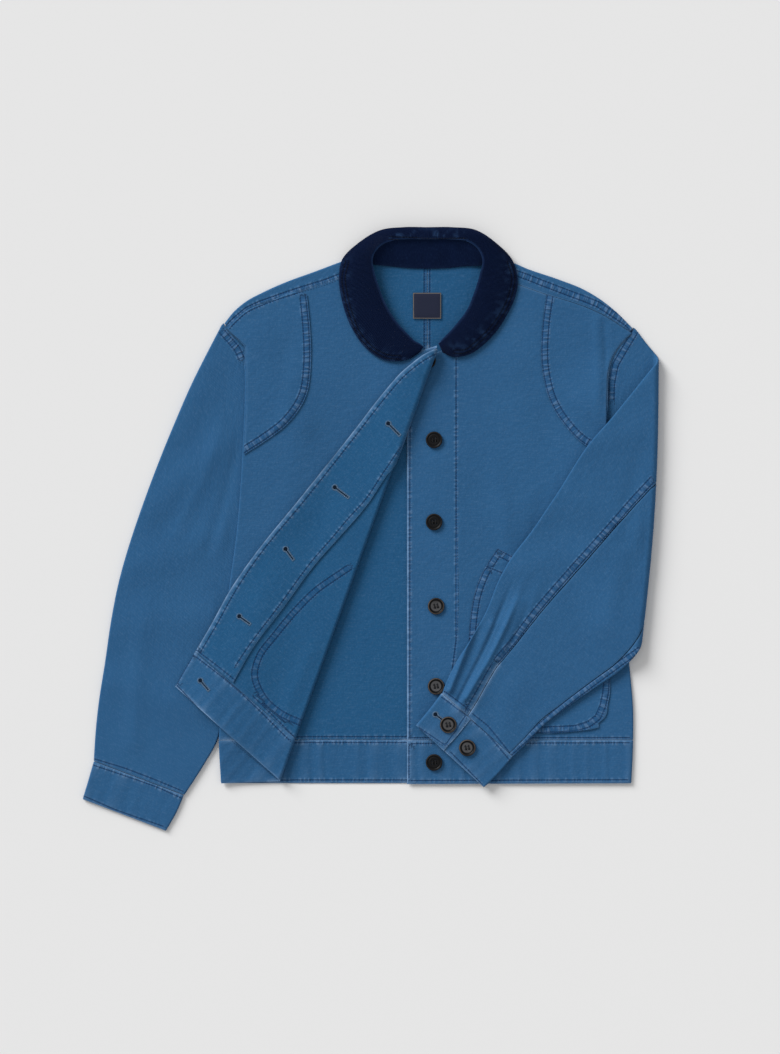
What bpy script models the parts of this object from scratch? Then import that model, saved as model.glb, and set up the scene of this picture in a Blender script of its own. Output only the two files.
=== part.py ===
"""A hunting jacket laid flat, front up: the wearer's right front is folded open and the left sleeve folded
across. Built in millimetres and scaled to metres. +X is the wearer's left, +Y the collar, +Z up."""

import math

import bmesh
import bpy
import numpy as np
from mathutils import Matrix

MM = 0.001
WALL = 1.2  # cloth with its turnings pressed
GAP = 0.6  # between layers that lie on each other
STEP = WALL + GAP
SEAM = 0.3  # between pieces sewn edge to edge
BACK_Z = WALL / 2  # middle of the layer on the table
FRONT_Z = BACK_Z + 2.2  # middle of the layer above it
BEND = (FRONT_Z - BACK_Z) / 2  # bend at a side fold, to the middle of the wall
EDGE = BEND + WALL / 2  # from a side fold's outline to where its bend starts
RETURN = 6.0  # cloth that comes back beneath a side fold
OVER_SLEEVE = 4.0  # rise of the body where a sleeve passes beneath
MIDDLE = (-67.85, 304.4)  # middle of the outline on the plan
HEM_SEAM = 52.0
BUTTON_D = 20.0
BUTTON_H = 2.6
SEAM_POINTS = 9  # points along a shoulder seam, shared by the two pieces it joins

# Fold of the wearer's right front: a line on the plan, and the height its layers turn about
FLAP_FOOT = (-180.4, 1.2)
FLAP_TOP = (8.7, 524.4)
FLAP_AXIS = FRONT_Z + WALL / 2 + (2 * WALL + 3 * GAP + 0.8) / 2
# Fold of the left sleeve
ARM_FOOT = (250.2, 166.0)
ARM_TOP = (270.6, 508.0)
ARM_BOW = 6.0
ARM_AXIS = 6.9

# Side fold of each half below the armhole, from the hem up: height, x
SIDE_RIGHT = ((0, -247.0), (53, -249.6), (240, -236.4), (292, -229.2), (403, -220.8), (458, -218.4), (520, -218.4))
SIDE_LEFT = ((0, 245.0), (50, 247.2), (85, 247.2), (145, 242.4), (260, 232.0), (364, 221.0), (436, 216.0), (470, 216.6))
# Armhole edge above the side fold, going up: x, y
ARMHOLE_RIGHT = ((-218.4, 523), (-221, 526), (-236, 540), (-241, 545))
ARMHOLE_LEFT = ((216.6, 471), (217.6, 491), (223.5, 511), (238.5, 532), (246, 539))
# Shoulder seam on the front, neck to armhole: x, y
SHOULDER_RIGHT = ((-86, 611), (-119, 600), (-152, 589), (-191, 577), (-211, 570), (-222, 562), (-238, 546))
SHOULDER_LEFT = ((86, 606), (106, 599), (143, 586), (190, 571), (208, 563), (244, 541))
# Outline of the shoulder, neck to armhole: x, y
TOP_RIGHT = ((-78, 634), (-104, 625), (-136, 613), (-169, 601), (-196, 589), (-218, 577), (-232, 565), (-243, 551))
TOP_LEFT = ((78, 630), (101, 625), (120, 617), (158, 604), (188, 592), (211, 578), (227, 565), (247, 545))
# Neckline of each front, centre to shoulder: x, y
NECK_RIGHT = ((12, 524), (-20, 518), (-35, 525), (-55, 543), (-68, 562), (-78, 585), (-86, 611))
NECK_LEFT = ((-24, 514), (10, 516), (30, 526), (50, 544), (66, 565), (78, 585), (86, 606))
# Inner edge of each sleeve under the body, going down: y, x
UNDER_RIGHT = ((0, -282), (25, -266), (53, -250), (88, -241), (148, -229), (220, -212), (292, -191), (364, -174),
               (424, -176), (484, -198), (525, -218))
UNDER_LEFT = ((100, 330), (150, 285), (175, 255), (260, 228), (304, 206), (352, 185), (424, 197), (474, 216))

# Sleeves laid straight, shoulder to cuff: outer x, outer y, inner x, inner y
SLEEVE_RIGHT = ((-245.6, 550.4, -174, 364), (-263, 517, -180, 335), (-281, 481, -188, 305), (-302, 433, -198, 270),
                (-321.6, 385, -208, 236), (-339.6, 337, -217, 200), (-356, 289, -226, 162), (-369.6, 241, -234, 124),
                (-379, 193, -243, 84), (-386, 145, -252, 50), (-393.6, 97, -264, 28), (-397.5, 60, -277, 7),
                (-399.6, 27, -291, -14))
SLEEVE_LEFT = ((249, 545.5, 185, 352), (264, 526, 197, 318), (279, 508, 208, 296), (308, 466, 219, 272),
               (334, 428, 229, 250), (353, 402, 236, 232), (388, 334, 252, 190), (411, 288, 262, 160),
               (433, 248, 283, 131), (442, 224, 300, 116), (451, 184, 321, 98), (464, 149, 343, 78),
               (476, 124, 362, 60), (487, 93, 383, 32), (490, 80, 397, 15))
# Line of each armhole on the sleeve, outer to inner: x, y
CAP_RIGHT = ((-245.6, 550.4), (-242, 544), (-237.4, 538.8), (-221.6, 525.4), (-205, 500), (-196, 470), (-176, 424),
             (-174, 364))
CAP_LEFT = ((249, 545.5), (246.6, 538.2), (239.2, 531.3), (224.3, 510.5), (218.5, 490.6), (217.3, 471), (205, 435),
            (190, 385), (185, 352))
CAP_SHARES = (0.0, 0.1, 0.2, 0.3, 0.4, 0.58, 0.78, 1.0)  # steps across a sleeve, closer where its seam shows
ELBOW_AT = ((0.0, 0.62), (0.35, 0.42), (0.6, 0.42), (0.8, 0.45), (1.0, 0.36))  # along the sleeve, across it

# Cuffs laid straight, seam to edge: outer x, outer y, inner x, inner y
CUFF_RIGHT = ((-399.6, 26.4, -291.6, -14.4), (-406, 4, -300, -34), (-413, -19, -313, -57))
CUFF_LEFT = ((490.2, 79.7, 397.2, 14.7), (503, 58, 412, -7), (516, 38, 427, -26))

# Shoulder patches: the edge towards the centre, going down: y, x
PATCH_RIGHT = ((586, -144), (538, -139.7), (502, -139.2), (464, -145), (432, -165.6), (412, -190.8), (394, -219))
PATCH_LEFT = ((586, 143), (548, 138), (494, 138), (457, 147.6), (428, 165.6), (405, 189.6), (396, 215))
# Pockets: height, edge towards the centre, edge towards the side
POCKET_RIGHT = ((281, -84, -86), (257, -73, -132), (226, -60, -196), (202, -54, -207), (146, -49, -209),
                (103, -57, -207), (77, -70, -197), (63, -92, -170), (59, -118, -150))
POCKET_LEFT = ((281, 84, 86), (255, 67.5, 136), (224, 56, 200), (200, 52, 216), (150, 50, 219), (126, 51, 219.6),
               (98, 56, 217), (73, 70, 206), (63, 90, 186), (60, 112, 150))

# Collar leaf, wearer's right end round the back to the left end:
# roll x, y, z; belly x, y, z; outer x, y, z
LEAF = (
    (-4, 522.5, 10.4, -6, 520, 11.4, -8, 517, 9.0),
    (-8, 526, 10.6, -16, 517, 12.0, -22, 508, 8.8),
    (-15, 530, 10.6, -27, 518, 12.6, -38, 505.5, 8.0),
    (-24, 539, 10.6, -41, 525, 12.8, -56, 509, 7.0),
    (-35, 551, 10.6, -55, 536, 12.9, -74, 522, 6.0),
    (-47, 569, 10.8, -68, 557, 13.2, -91, 547, 5.4),
    (-57, 593, 11.6, -80, 587, 14.0, -103, 583, 5.2),
    (-63, 612, 12.6, -86, 612, 15.0, -105.6, 607, 5.2),
    (-65, 628, 13.6, -86, 634, 16.0, -102, 627, 6.0),
    (-58, 641, 14.4, -74, 655, 16.0, -87, 643, 4.0),
    (-43, 649, 14.8, -53, 672, 15.0, -62, 655, 1.4),
    (-24, 651, 15.0, -28, 679, 13.5, -36, 652, 0.8),
    (1, 651, 15.0, 1, 680, 13.0, 1, 650, 0.8),
    (26, 651, 15.0, 30, 679, 13.5, 38, 652, 0.8),
    (46, 649, 14.8, 56, 672, 15.0, 65, 655, 1.4),
    (60, 640, 14.4, 76, 654, 16.0, 87, 643, 4.0),
    (66, 626, 13.6, 86, 632, 16.0, 102, 627, 6.0),
    (63, 610, 12.6, 86, 610, 15.0, 108.5, 606, 5.2),
    (56, 587, 11.6, 79, 582, 14.0, 105.6, 583, 5.2),
    (47, 566, 10.8, 69, 555, 13.2, 95, 560, 5.4),
    (34, 549, 10.2, 55, 536, 12.6, 81, 539, 5.8),
    (26, 540, 9.8, 46, 528, 12.2, 66, 524, 6.0),
    (19, 533, 9.4, 33, 521, 11.6, 48, 513, 6.0),
    (15.5, 529.5, 9.0, 23, 519, 10.6, 30, 511, 6.0),
    (13, 527, 8.5, 16, 521, 9.6, 18.5, 516.5, 6.0),
)
# Neck seam of the collar stand, beside each row of the leaf but the first and last: x, y, z
STAND_FOOT = (
    (-16, 516.5, 8.9), (-27, 519, 8.4), (-39, 530, 7.2), (-50, 541, 6.2), (-64, 562, 5.2), (-76, 588, 4.9),
    (-79, 611, 4.9), (-72, 622, 4.4), (-59, 621, 3.2), (-43, 619.6, 2.4), (-23, 617.6, 2.2), (1, 616.8, 2.2),
    (25, 617.6, 2.2), (45, 619.6, 2.4), (61, 620, 3.2), (73, 620, 4.4), (79, 608, 4.9), (75, 583, 4.9),
    (64, 560, 4.9), (50, 541, 4.9), (39, 532, 4.9), (28, 526, 4.9), (21, 522, 4.9),
)

# Soft folds of the top layers: from x, y, to x, y, half width, height
BODY_FOLDS = ((-215, 500, -150, 430, 16, 1.6), (215, 440, 150, 470, 18, 1.4), (20, 380, 40, 120, 26, 1.2),
              (110, 500, 130, 330, 30, 1.5), (-150, 480, -110, 330, 28, 1.5), (90, 60, 110, 120, 16, 0.9),
              (-20, 60, -8, 110, 14, 0.8), (40, 58, 30, 110, 14, 0.8))
ARM_FOLDS = ((-262, 500, -300, 420, 18, 1.6), (-250, 400, -330, 330, 20, 2.0), (-240, 300, -350, 260, 20, 1.6),
             (-262, 200, -372, 190, 22, 1.4), (-280, 90, -375, 120, 18, 1.5), (240, 420, 170, 400, 18, 1.6),
             (255, 300, 150, 350, 22, 1.8), (120, 260, 200, 280, 20, 1.5))
# Pleats let into the left cuff, on the folded sleeve: from x, y, to x, y, half width, height
PLEATS = ((38, 88, 78, 190, 7, 2.2), (54, 102, 110, 216, 8, 2.2))

FRONT_BUTTONS = ((0.5, 506.5), (8.4, 411.6), (8.4, 313.2), (10.8, 212.4), (10.8, 116.4), (8.4, 25.2))
# Closing edge of the right front laid straight, and the inner edge of its facing, going up: y, x
FLAP_EDGE = ((56, 3.6), (95, 10.3), (143, 19.5), (181, 23), (281, 25), (378, 27), (443, 29), (472, 28), (488, 25),
             (507, 20), (524, 12))
FACING_IN = ((57, -55), (102, -47), (161, -44), (233, -40), (265, -41), (326, -42), (362, -38), (530, -36))
CUFF_TOP = 2 * ARM_AXIS - BACK_Z + WALL / 2
# Buttons of the left cuff as it lies: x, y, layers of the lap beneath
CUFF_BUTTONS = ((25.2, 70.8, 1), (48.0, 43.2, 0))


def smooth(t):
    t = np.clip(t, 0.0, 1.0)
    return t * t * (3.0 - 2.0 * t)


def along(points, share):
    """The point of a polyline at each share of its length."""
    points = np.asarray(points, float)
    run = np.r_[0.0, np.cumsum(np.linalg.norm(np.diff(points, axis=0), axis=1))]
    return np.stack([np.interp(np.asarray(share) * run[-1], run, points[:, k]) for k in range(points.shape[1])], -1)


def table(rows, at, column=1):
    """A column of a table whose first column rises or falls, read at the given values."""
    rows = np.asarray(sorted(rows), float)
    return np.interp(at, rows[:, 0], rows[:, column])


def ridges(x, y, folds):
    """Height of soft folds, each a ridge along a short line."""
    total = np.zeros(np.broadcast(x, y).shape)
    for x0, y0, x1, y1, half, height in folds:
        dx, dy = x1 - x0, y1 - y0
        t = np.clip(((x - x0) * dx + (y - y0) * dy) / (dx * dx + dy * dy), 0.0, 1.0)
        away = (x - x0 - t * dx) ** 2 + (y - y0 - t * dy) ** 2
        total = total + height * np.exp(-away / half**2)
    return total


def over_sleeves(x, y):
    """How far the body is raised by the sleeves that pass beneath it."""
    right = smooth((table(UNDER_RIGHT, y) + 65 - x) / 60) * smooth((575 - y) / 54)
    left = smooth((x - table(UNDER_LEFT, y) + 65) / 60) * smooth((525 - y) / 54)
    return OVER_SLEEVE * (right + left)


def over_front(x, y):
    """Extra rise of the right front where it laps the left front and the top button."""
    lap = 1.9 * smooth((x + 75) / 45) * smooth((y - 330) / 70)
    button = 3.9 * np.exp(-(((x - 1) / 24) ** 2 + ((y - 508) / 24) ** 2) ** 2)
    return lap + button


def body_lift(points, weight=1.0):
    x, y = points[..., 0], points[..., 1]
    points = points.copy()
    points[..., 2] += over_sleeves(x, y) + weight * ridges(x, y, BODY_FOLDS)
    return points


def top_share(points):
    """0 for the layer on the table, 1 for the layer above it."""
    return np.clip((points[..., 2] - WALL) / (FRONT_Z - BACK_Z), 0.0, 1.0)


def coons(bottom, top, left, right):
    """A grid of points that fills four edges, rows from bottom to top."""
    u = np.linspace(0, 1, len(bottom))[None, :, None]
    v = np.linspace(0, 1, len(left))[:, None, None]
    corners = ((1 - u) * (1 - v) * bottom[0] + u * (1 - v) * bottom[-1]
               + (1 - u) * v * top[0] + u * v * top[-1])
    return (1 - v) * bottom[None] + v * top[None] + (1 - u) * left[:, None] + u * right[:, None] - corners


def bend_path(run, turn=BEND):
    """Out and height of a side fold after a run from its start, and the wall's direction there."""
    angle = np.minimum(run / turn, math.pi)
    back = np.maximum(run - math.pi * turn, 0.0)
    return turn * np.sin(angle) - back, turn * np.cos(angle), np.sin(angle), np.cos(angle)


BEND_RUNS = np.r_[np.linspace(0, math.pi * BEND, 5)[1:], math.pi * BEND + RETURN]


def wall_faces(middle, direction):
    half = direction * WALL / 2
    return middle + half, middle - half


def flat_layer(plan, height):
    """Middle of a flat layer of cloth and its wall's direction."""
    middle = np.dstack([plan, np.full(plan.shape[:2], height)])
    return middle, np.broadcast_to((0.0, 0.0, 1.0), middle.shape)


def outward(edge, away_from):
    """Plan direction square to an edge, pointing away from a point."""
    run = np.gradient(edge, axis=0)
    side = np.stack([run[:, 1], -run[:, 0]], -1)
    side /= np.linalg.norm(side, axis=1)[:, None]
    flip = np.sign(np.sum(side * (edge - np.asarray(away_from)), axis=1))
    return side * flip[:, None]


def solid(name, outer, inner, closed=False, move=None, cuts=None):
    """One body from the two faces of a wall, given as grids of points, its rims joined."""
    rows, columns = outer.shape[:2]
    mesh = bmesh.new()
    grids = [[[mesh.verts.new(p) for p in row] for row in face] for face in (outer, inner)]
    spans = columns if closed else columns - 1
    for grid in grids:
        for i in range(rows - 1):
            for j in range(spans):
                k = (j + 1) % columns
                mesh.faces.new((grid[i][j], grid[i][k], grid[i + 1][k], grid[i + 1][j]))
    a, b = grids
    for i in (0, rows - 1):
        for j in range(spans):
            k = (j + 1) % columns
            mesh.faces.new((a[i][j], a[i][k], b[i][k], b[i][j]))
    if not closed:
        for i in range(rows - 1):
            for j in (0, columns - 1):
                mesh.faces.new((a[i][j], a[i + 1][j], b[i + 1][j], b[i][j]))
    bmesh.ops.recalc_face_normals(mesh, faces=mesh.faces)
    for point, normal in cuts or ():
        bmesh.ops.bisect_plane(mesh, geom=mesh.verts[:] + mesh.edges[:] + mesh.faces[:], dist=1e-5,
                               plane_co=point, plane_no=normal)
    bmesh.ops.triangulate(mesh, faces=mesh.faces)
    if move:
        moved = move(np.array([v.co for v in mesh.verts]))
        for vertex, place in zip(mesh.verts, moved):
            vertex.co = place
    bmesh.ops.recalc_face_normals(mesh, faces=mesh.faces)
    if mesh.calc_volume(signed=True) < 0:
        bmesh.ops.reverse_faces(mesh, faces=mesh.faces)
    return finish(name, mesh)


def layer(name, middle, direction, move=None, cuts=None):
    """A layer of the body, raised by what lies beneath it, or moved over by a fold."""
    faces = wall_faces(middle, direction)
    if move is None:
        faces = [body_lift(face, top_share(face)) for face in faces]
    return solid(name, *faces, move=move, cuts=cuts)


def finish(name, mesh):
    bmesh.ops.transform(mesh, verts=mesh.verts, matrix=TO_PART)
    data = bpy.data.meshes.new(name)
    mesh.to_mesh(data)
    mesh.free()
    thing = bpy.data.objects.new(name, data)
    JACKET.objects.link(thing)
    thing.parent = ROOT
    return thing


def paint(thing, name, colour, rough):
    material = bpy.data.materials.get(name) or bpy.data.materials.new(name)
    material.use_nodes = True
    shader = material.node_tree.nodes["Principled BSDF"]
    shader.inputs["Base Color"].default_value = (*colour, 1)
    shader.inputs["Roughness"].default_value = rough
    thing.data.materials.append(material)
    return thing


def cloth(thing):
    return paint(thing, "blue_canvas", (0.035, 0.105, 0.235), 0.9)


# ---- the two folds ----------------------------------------------------------

def fold_frame(foot, top):
    foot, top = np.array(foot), np.array(top)
    line = (top - foot) / np.linalg.norm(top - foot)
    return foot, line, np.array([line[1], -line[0]])


def flap_drop(x, y, past):
    """How far the flap settles once it is clear of the fold, the pocket and the body's side."""
    rows = np.asarray(sorted(POCKET_RIGHT), float)
    foot, line, square = fold_frame(FLAP_FOOT, FLAP_TOP)
    turned = math.pi * (FLAP_AXIS - FRONT_Z)
    rel = np.stack([x - foot[0], y - foot[1]], -1)
    flat = foot + (rel @ line)[..., None] * line + (turned - rel @ square)[..., None] * square
    inner = np.maximum(np.interp(flat[..., 1], rows[:, 0], rows[:, 1]), -74)
    clear_x = smooth((flat[..., 0] - inner - 16) / 55)
    clear_y = smooth((flat[..., 1] - 280) / 80)
    clear = 1 - (1 - clear_x) * (1 - clear_y)
    side = table(SIDE_RIGHT, y)
    on_body = 3.2 * smooth(past / 70) * clear
    over_side = 3.4 * smooth((side - 2 - x) / 50)
    return on_body + over_side


def fold_flap(points):
    """Turns what lies past the flap's fold line over onto the rest."""
    foot, line, square = fold_frame(FLAP_FOOT, FLAP_TOP)
    rel = points[:, :2] - foot
    s, d, z = rel @ line, rel @ square, points[:, 2]
    turn = FLAP_AXIS - FRONT_Z
    angle = np.clip(d / turn, 0.0, math.pi)
    radius = FLAP_AXIS - z
    across = np.where(d < 0, d, radius * np.sin(angle) - np.maximum(d - math.pi * turn, 0.0))
    height = np.where(d < 0, z, FLAP_AXIS - radius * np.cos(angle))
    plan = foot + s[:, None] * line + across[:, None] * square
    x, y = plan[:, 0], plan[:, 1]
    rise = over_sleeves(x, y) + over_front(x, y) + ridges(x, y, BODY_FOLDS) * smooth((z - BACK_Z) / 1.5 + (d > 0))
    fall = np.where(d > math.pi * turn, flap_drop(x, y, -across), 0.0)
    return np.column_stack([plan, height + rise - fall])


def fold_arm(points):
    """Turns what lies past the left sleeve's fold line over onto the body."""
    foot, line, square = fold_frame(ARM_FOOT, ARM_TOP)
    rel = points[:, :2] - foot
    s, d, z = rel @ line, rel @ square, points[:, 2]
    length = math.dist(ARM_FOOT, ARM_TOP)
    bow = ARM_BOW * np.sin(math.pi * np.clip(s / length, 0, 1))
    turn = ARM_AXIS - (BACK_Z + FRONT_Z) / 2
    angle = np.clip(d / turn, 0.0, math.pi)
    radius = ARM_AXIS - z
    across = np.where(d < 0, d, radius * np.sin(angle) - np.maximum(d - math.pi * turn, 0.0))
    across = across + bow * np.where(d < 0, smooth(1 + d / 60), 1.0)
    height = np.where(d < 0, z, ARM_AXIS - radius * np.cos(angle))
    plan = foot + s[:, None] * line + across[:, None] * square
    x, y = plan[:, 0], plan[:, 1]
    over = smooth((d - math.pi * turn) / 12)
    settle = OVER_SLEEVE - over_sleeves(x, y)
    shown = np.clip((height - (2 * ARM_AXIS - FRONT_Z)) / 2.2, 0, 1)
    lift = ridges(x, y, BODY_FOLDS) + shown * (ridges(x, y, ARM_FOLDS) + ridges(x, y, PLEATS))
    return np.column_stack([plan, height + over * (lift - settle)])


def fold_cuts(foot, top, axis, middle, count):
    """Upright planes beside a fold line that give its bend enough edges."""
    start, line, square = fold_frame(foot, top)
    turned = math.pi * (axis - middle)
    return [((*(start + square * turned * k / count), 0.0), (*square, 0.0)) for k in range(count + 1)]


FLAP_CUTS = fold_cuts(FLAP_FOOT, FLAP_TOP, FLAP_AXIS, FRONT_Z, 6)
ARM_CUTS = fold_cuts(ARM_FOOT, ARM_TOP, ARM_AXIS, (BACK_Z + FRONT_Z) / 2, 7)


# ---- body panels ------------------------------------------------------------

def side_edge(side, armhole, rows):
    """Plan points of the side fold, evenly spaced from the hem seam, then those of the armhole."""
    line = [(x, y) for y, x in side if y > HEM_SEAM + 1]
    points = [(float(table(side, HEM_SEAM)), HEM_SEAM)] + line
    below = along(points, np.linspace(0, 1, rows - len(armhole)))
    return np.concatenate([below, np.asarray(armhole, float)])


def front(name, edge, neck, shoulder, side, armhole, columns, rows, move=None, cuts=None):
    """A front from its closing edge to the side fold, round which it turns to the side seam."""
    outer_edge = side_edge(side, armhole, rows)
    share = (outer_edge[:, 1] - HEM_SEAM) / (outer_edge[-1, 1] - HEM_SEAM)
    square = outward(outer_edge, (0, 300))
    square[0] = (np.sign(square[0, 0]), 0.0)
    reach = (outer_edge[:, 1] < side[-1][0] - 24).astype(float)
    inset = outer_edge - square * (reach * EDGE + (1 - reach) * SEAM)[:, None]
    closing = along(edge, share)
    seam_part = along(shoulder, np.linspace(0, 1, SEAM_POINTS))
    top = np.concatenate([along(neck, np.linspace(0, 1, columns - SEAM_POINTS + 1))[:-1], seam_part])
    inset[-1] = top[-1]
    bottom = along((closing[0], inset[0]), 1 - (1 - np.linspace(0, 1, columns)) ** 1.2)
    plan = coons(bottom, top, closing, inset)
    middle, direction = flat_layer(plan, FRONT_Z)
    runs = np.maximum(reach, 0.02)[:, None] * BEND_RUNS[None]
    out, high, facing_out, facing_up = bend_path(runs)
    turned = np.dstack([inset[:, None] + square[:, None] * out[..., None], (FRONT_Z - BEND) + high])
    turned_dir = np.dstack([square[:, None] * facing_out[..., None], facing_up])
    middle = np.concatenate([middle, turned], axis=1)
    direction = np.concatenate([direction, turned_dir], axis=1)
    return cloth(layer(name, middle, direction, move, cuts))


def back(name, centre, neck, shoulder_outline, seam, side, armhole, columns, rows):
    """Half the back, from the centre seam to the side seam, and over the shoulder to the seam in front."""
    outer_edge = side_edge(side, armhole, rows)
    share = (outer_edge[:, 1] - HEM_SEAM) / (outer_edge[-1, 1] - HEM_SEAM)
    square = outward(outer_edge, (0, 300))
    tuck = np.where(outer_edge[:, 1] < side[-1][0] + 4, EDGE + RETURN + SEAM, SEAM)
    inset = outer_edge - square * tuck[:, None]
    inset[0, 1] = HEM_SEAM
    centre_line = along(((centre, HEM_SEAM), (centre, neck[0][1])), share)
    across = np.linspace(0, 1, columns)
    neck_columns = columns - SEAM_POINTS
    neck_part = along(neck, np.linspace(0, 1, neck_columns + 1))
    shoulder_part = along(shoulder_outline, np.linspace(0, 1, columns - neck_columns))
    contour = np.concatenate([neck_part[:-1], shoulder_part])
    seam_part = along(seam, np.linspace(0, 1, columns - neck_columns))
    square_top = outward(contour, (contour[:, 0].mean(), 300))
    square_top[:neck_columns] = (0.0, 1.0)
    wraps = np.r_[np.full(neck_columns, 0.0), np.ones(columns - neck_columns)]
    top = contour - square_top * (EDGE * wraps)[:, None]
    inset[-1] = top[-1]
    bottom = along((centre_line[0], inset[0]), across)
    plan = coons(bottom, top, centre_line, inset)
    middle, direction = flat_layer(plan, BACK_Z)
    arc = np.linspace(0, math.pi, 5)[1:]
    extra, extra_dir = [], []
    lower = np.column_stack([top, np.full(columns, BACK_Z)])
    for angle in arc:
        step = BEND * wraps[:, None]
        place = lower + np.column_stack([square_top * step * math.sin(angle), step * (1 - math.cos(angle))])
        creep = (1 - wraps[:, None]) * (angle / math.pi) * 1.5
        place[:, :2] += square_top * creep
        extra.append(place)
        turned = np.column_stack([-square_top * math.sin(angle) * wraps[:, None],
                                  wraps * math.cos(angle) + (1 - wraps)])
        extra_dir.append(turned)
    strip_end = extra[-1].copy()
    strip_end[neck_columns:, :2] = seam_part
    strip_end[:neck_columns, :2] += square_top[:neck_columns] * 0.5
    to_seam = strip_end[neck_columns:, :2] - extra[-1][neck_columns:, :2]
    length = np.linalg.norm(to_seam, axis=1)[:, None]
    strip_end[neck_columns:, :2] -= to_seam / np.maximum(length, 1e-6) * SEAM
    extra.append(strip_end)
    extra_dir.append(extra_dir[-1].copy())
    middle = np.concatenate([middle, np.array(extra)])
    direction = np.concatenate([direction, np.array(extra_dir)])
    return cloth(layer(name, middle, direction))


def laid_on(name, rows, heights, columns, height, move=None, cuts=None, slot=None):
    """A piece on a panel, given by the two edges of each row."""
    rows = np.asarray(sorted(rows), float)
    near = np.interp(heights, rows[:, 0], rows[:, 1])
    far = np.interp(heights, rows[:, 0], rows[:, 2])
    share = np.linspace(0, 1, columns)
    x = near[:, None] * (1 - share) + far[:, None] * share
    plan = np.dstack([x, np.repeat(np.asarray(heights)[:, None], columns, 1)])
    return (slot or cloth)(layer(name, *flat_layer(plan, height), move, cuts))


def patch(name, edge, seam, side, armhole, columns, rows, move=None):
    """Shoulder patch on a front: from its curved edge to the armhole and the start of the side fold."""
    inner_edge = along([(x, y) for y, x in edge], np.linspace(0, 1, rows))
    low = edge[-1][0]
    outline = [(x, y) for y, x in reversed(side) if y > low + 1]
    outer_line = list(reversed(armhole)) + outline + [(float(table(side, low)), low)]
    outer_edge = along(outer_line, np.linspace(0, 1, rows))
    outer_edge[:, 0] -= np.sign(outer_edge[:, 0]) * (EDGE + 0.2)
    top = [p for p in seam if abs(p[0]) > abs(inner_edge[0][0])]
    top = [tuple(inner_edge[0])] + top
    top = along(top, np.linspace(0, 1, columns)) - (0, 0.6)
    bottom = along((inner_edge[-1], outer_edge[-1]), np.linspace(0, 1, columns))
    inner_edge[0] = top[0]
    outer_edge[0] = top[-1]
    plan = coons(top, bottom, inner_edge, outer_edge)
    return cloth(layer(name, *flat_layer(plan, FRONT_Z + STEP), move))


# ---- sleeves and cuffs ------------------------------------------------------

def tube_point(outer, inner, cap, t, share):
    """Plan points across the tube: straight lines that bend into the armhole's line at the top."""
    straight = outer[:, None] * (1 - share)[..., None] + inner[:, None] * share[..., None]
    if cap is None:
        return straight
    line = along(cap, share[0])
    chord = np.array(cap[0]) * (1 - share[0])[:, None] + np.array(cap[-1]) * share[0][:, None]
    fade = (1 - smooth(t / 0.30))[:, None, None]
    return straight + fade * (line - chord)[None]


def tube_piece(name, stations, cap, count, path, move=None, cuts=None, lift=None, closed=False):
    """A strip of a flat tube. The path holds, for each step round it: the side, and the share across or
    the turn round an edge."""
    t = np.linspace(0, 1, count)
    edges = along(stations, t)
    outer, inner = edges[:, :2], edges[:, 2:]
    out_square = outward(outer, inner.mean(axis=0))
    in_square = outward(inner, outer.mean(axis=0))
    middle_z = (BACK_Z + FRONT_Z) / 2
    places, directions = [], []
    for side, value in path:
        value = np.broadcast_to(np.asarray(value(t) if callable(value) else value, float), t.shape)
        flat_share = {"outer": 0.0 * t, "lap_edge": 0.0 * t, "inner": 0.0 * t + 1}.get(side, value)
        span = np.linalg.norm(inner - outer, axis=1)
        held = np.clip(flat_share, EDGE / span, 1 - EDGE / span)
        plan = np.array([tube_point(outer, inner, cap, t, held[i][None, None].repeat(count, 0))[i, 0]
                         for i in range(count)])
        if side in ("outer", "inner", "lap_edge"):
            square = in_square if side == "inner" else out_square
            base = (inner if side == "inner" else outer) - square * EDGE
            turn = BEND + (STEP / 2 if side == "lap_edge" else 0.0)
            plan = base + square * (turn * np.sin(value))[:, None]
            high = middle_z + BEND - turn + turn * np.cos(value)
            towards = np.column_stack([square * np.sin(value)[:, None], np.cos(value)])
        else:
            up = 1.0 if side == "top" else -1.0
            high = np.full(count, middle_z + up * BEND - (STEP if side == "lap" else 0.0))
            towards = np.column_stack([np.zeros((count, 2)), np.full(count, up)])
        places.append(np.column_stack([plan, high]))
        directions.append(towards)
    middle = np.array(places).transpose(1, 0, 2)
    direction = np.array(directions).transpose(1, 0, 2)
    faces = wall_faces(middle, direction)
    if lift:
        faces = [lift(face) for face in faces]
    return cloth(solid(name, *faces, closed=closed, move=move, cuts=cuts))


def arc_steps(side, start, end, count):
    return [(side, a) for a in np.linspace(start, end, count)[1:-1]]


def elbow(t):
    return table(ELBOW_AT, t)


def across(side, first, last, count):
    return [(side, lambda t, k=k: first(t) * (1 - k) + last(t) * k) for k in np.linspace(0, 1, count)]


def const(value):
    return lambda t: 0.0 * t + value


def top_sleeve_path(under_clear):
    """From the elbow seam below, round the outer edge, over the top, round the inner edge to the underarm."""
    return (across("bottom", elbow, const(0.0), 5) + arc_steps("outer", math.pi, 0, 5)
            + [("top", k) for k in CAP_SHARES] + arc_steps("inner", 0, math.pi, 5)
            + across("bottom", const(1.0), const(1.0 - under_clear), 2))


def under_sleeve_path(flat, under_clear):
    return across("bottom", lambda t: elbow(t) + 0.006, const(1.0 - under_clear - 0.006), flat)


def arm_lift(face):
    x, y = face[..., 0], face[..., 1]
    moved = face.copy()
    moved[..., 2] += top_share(face) * ridges(x, y, ARM_FOLDS) * smooth((table(SIDE_RIGHT, y) - 4 - x) / 14)
    return moved


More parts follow.
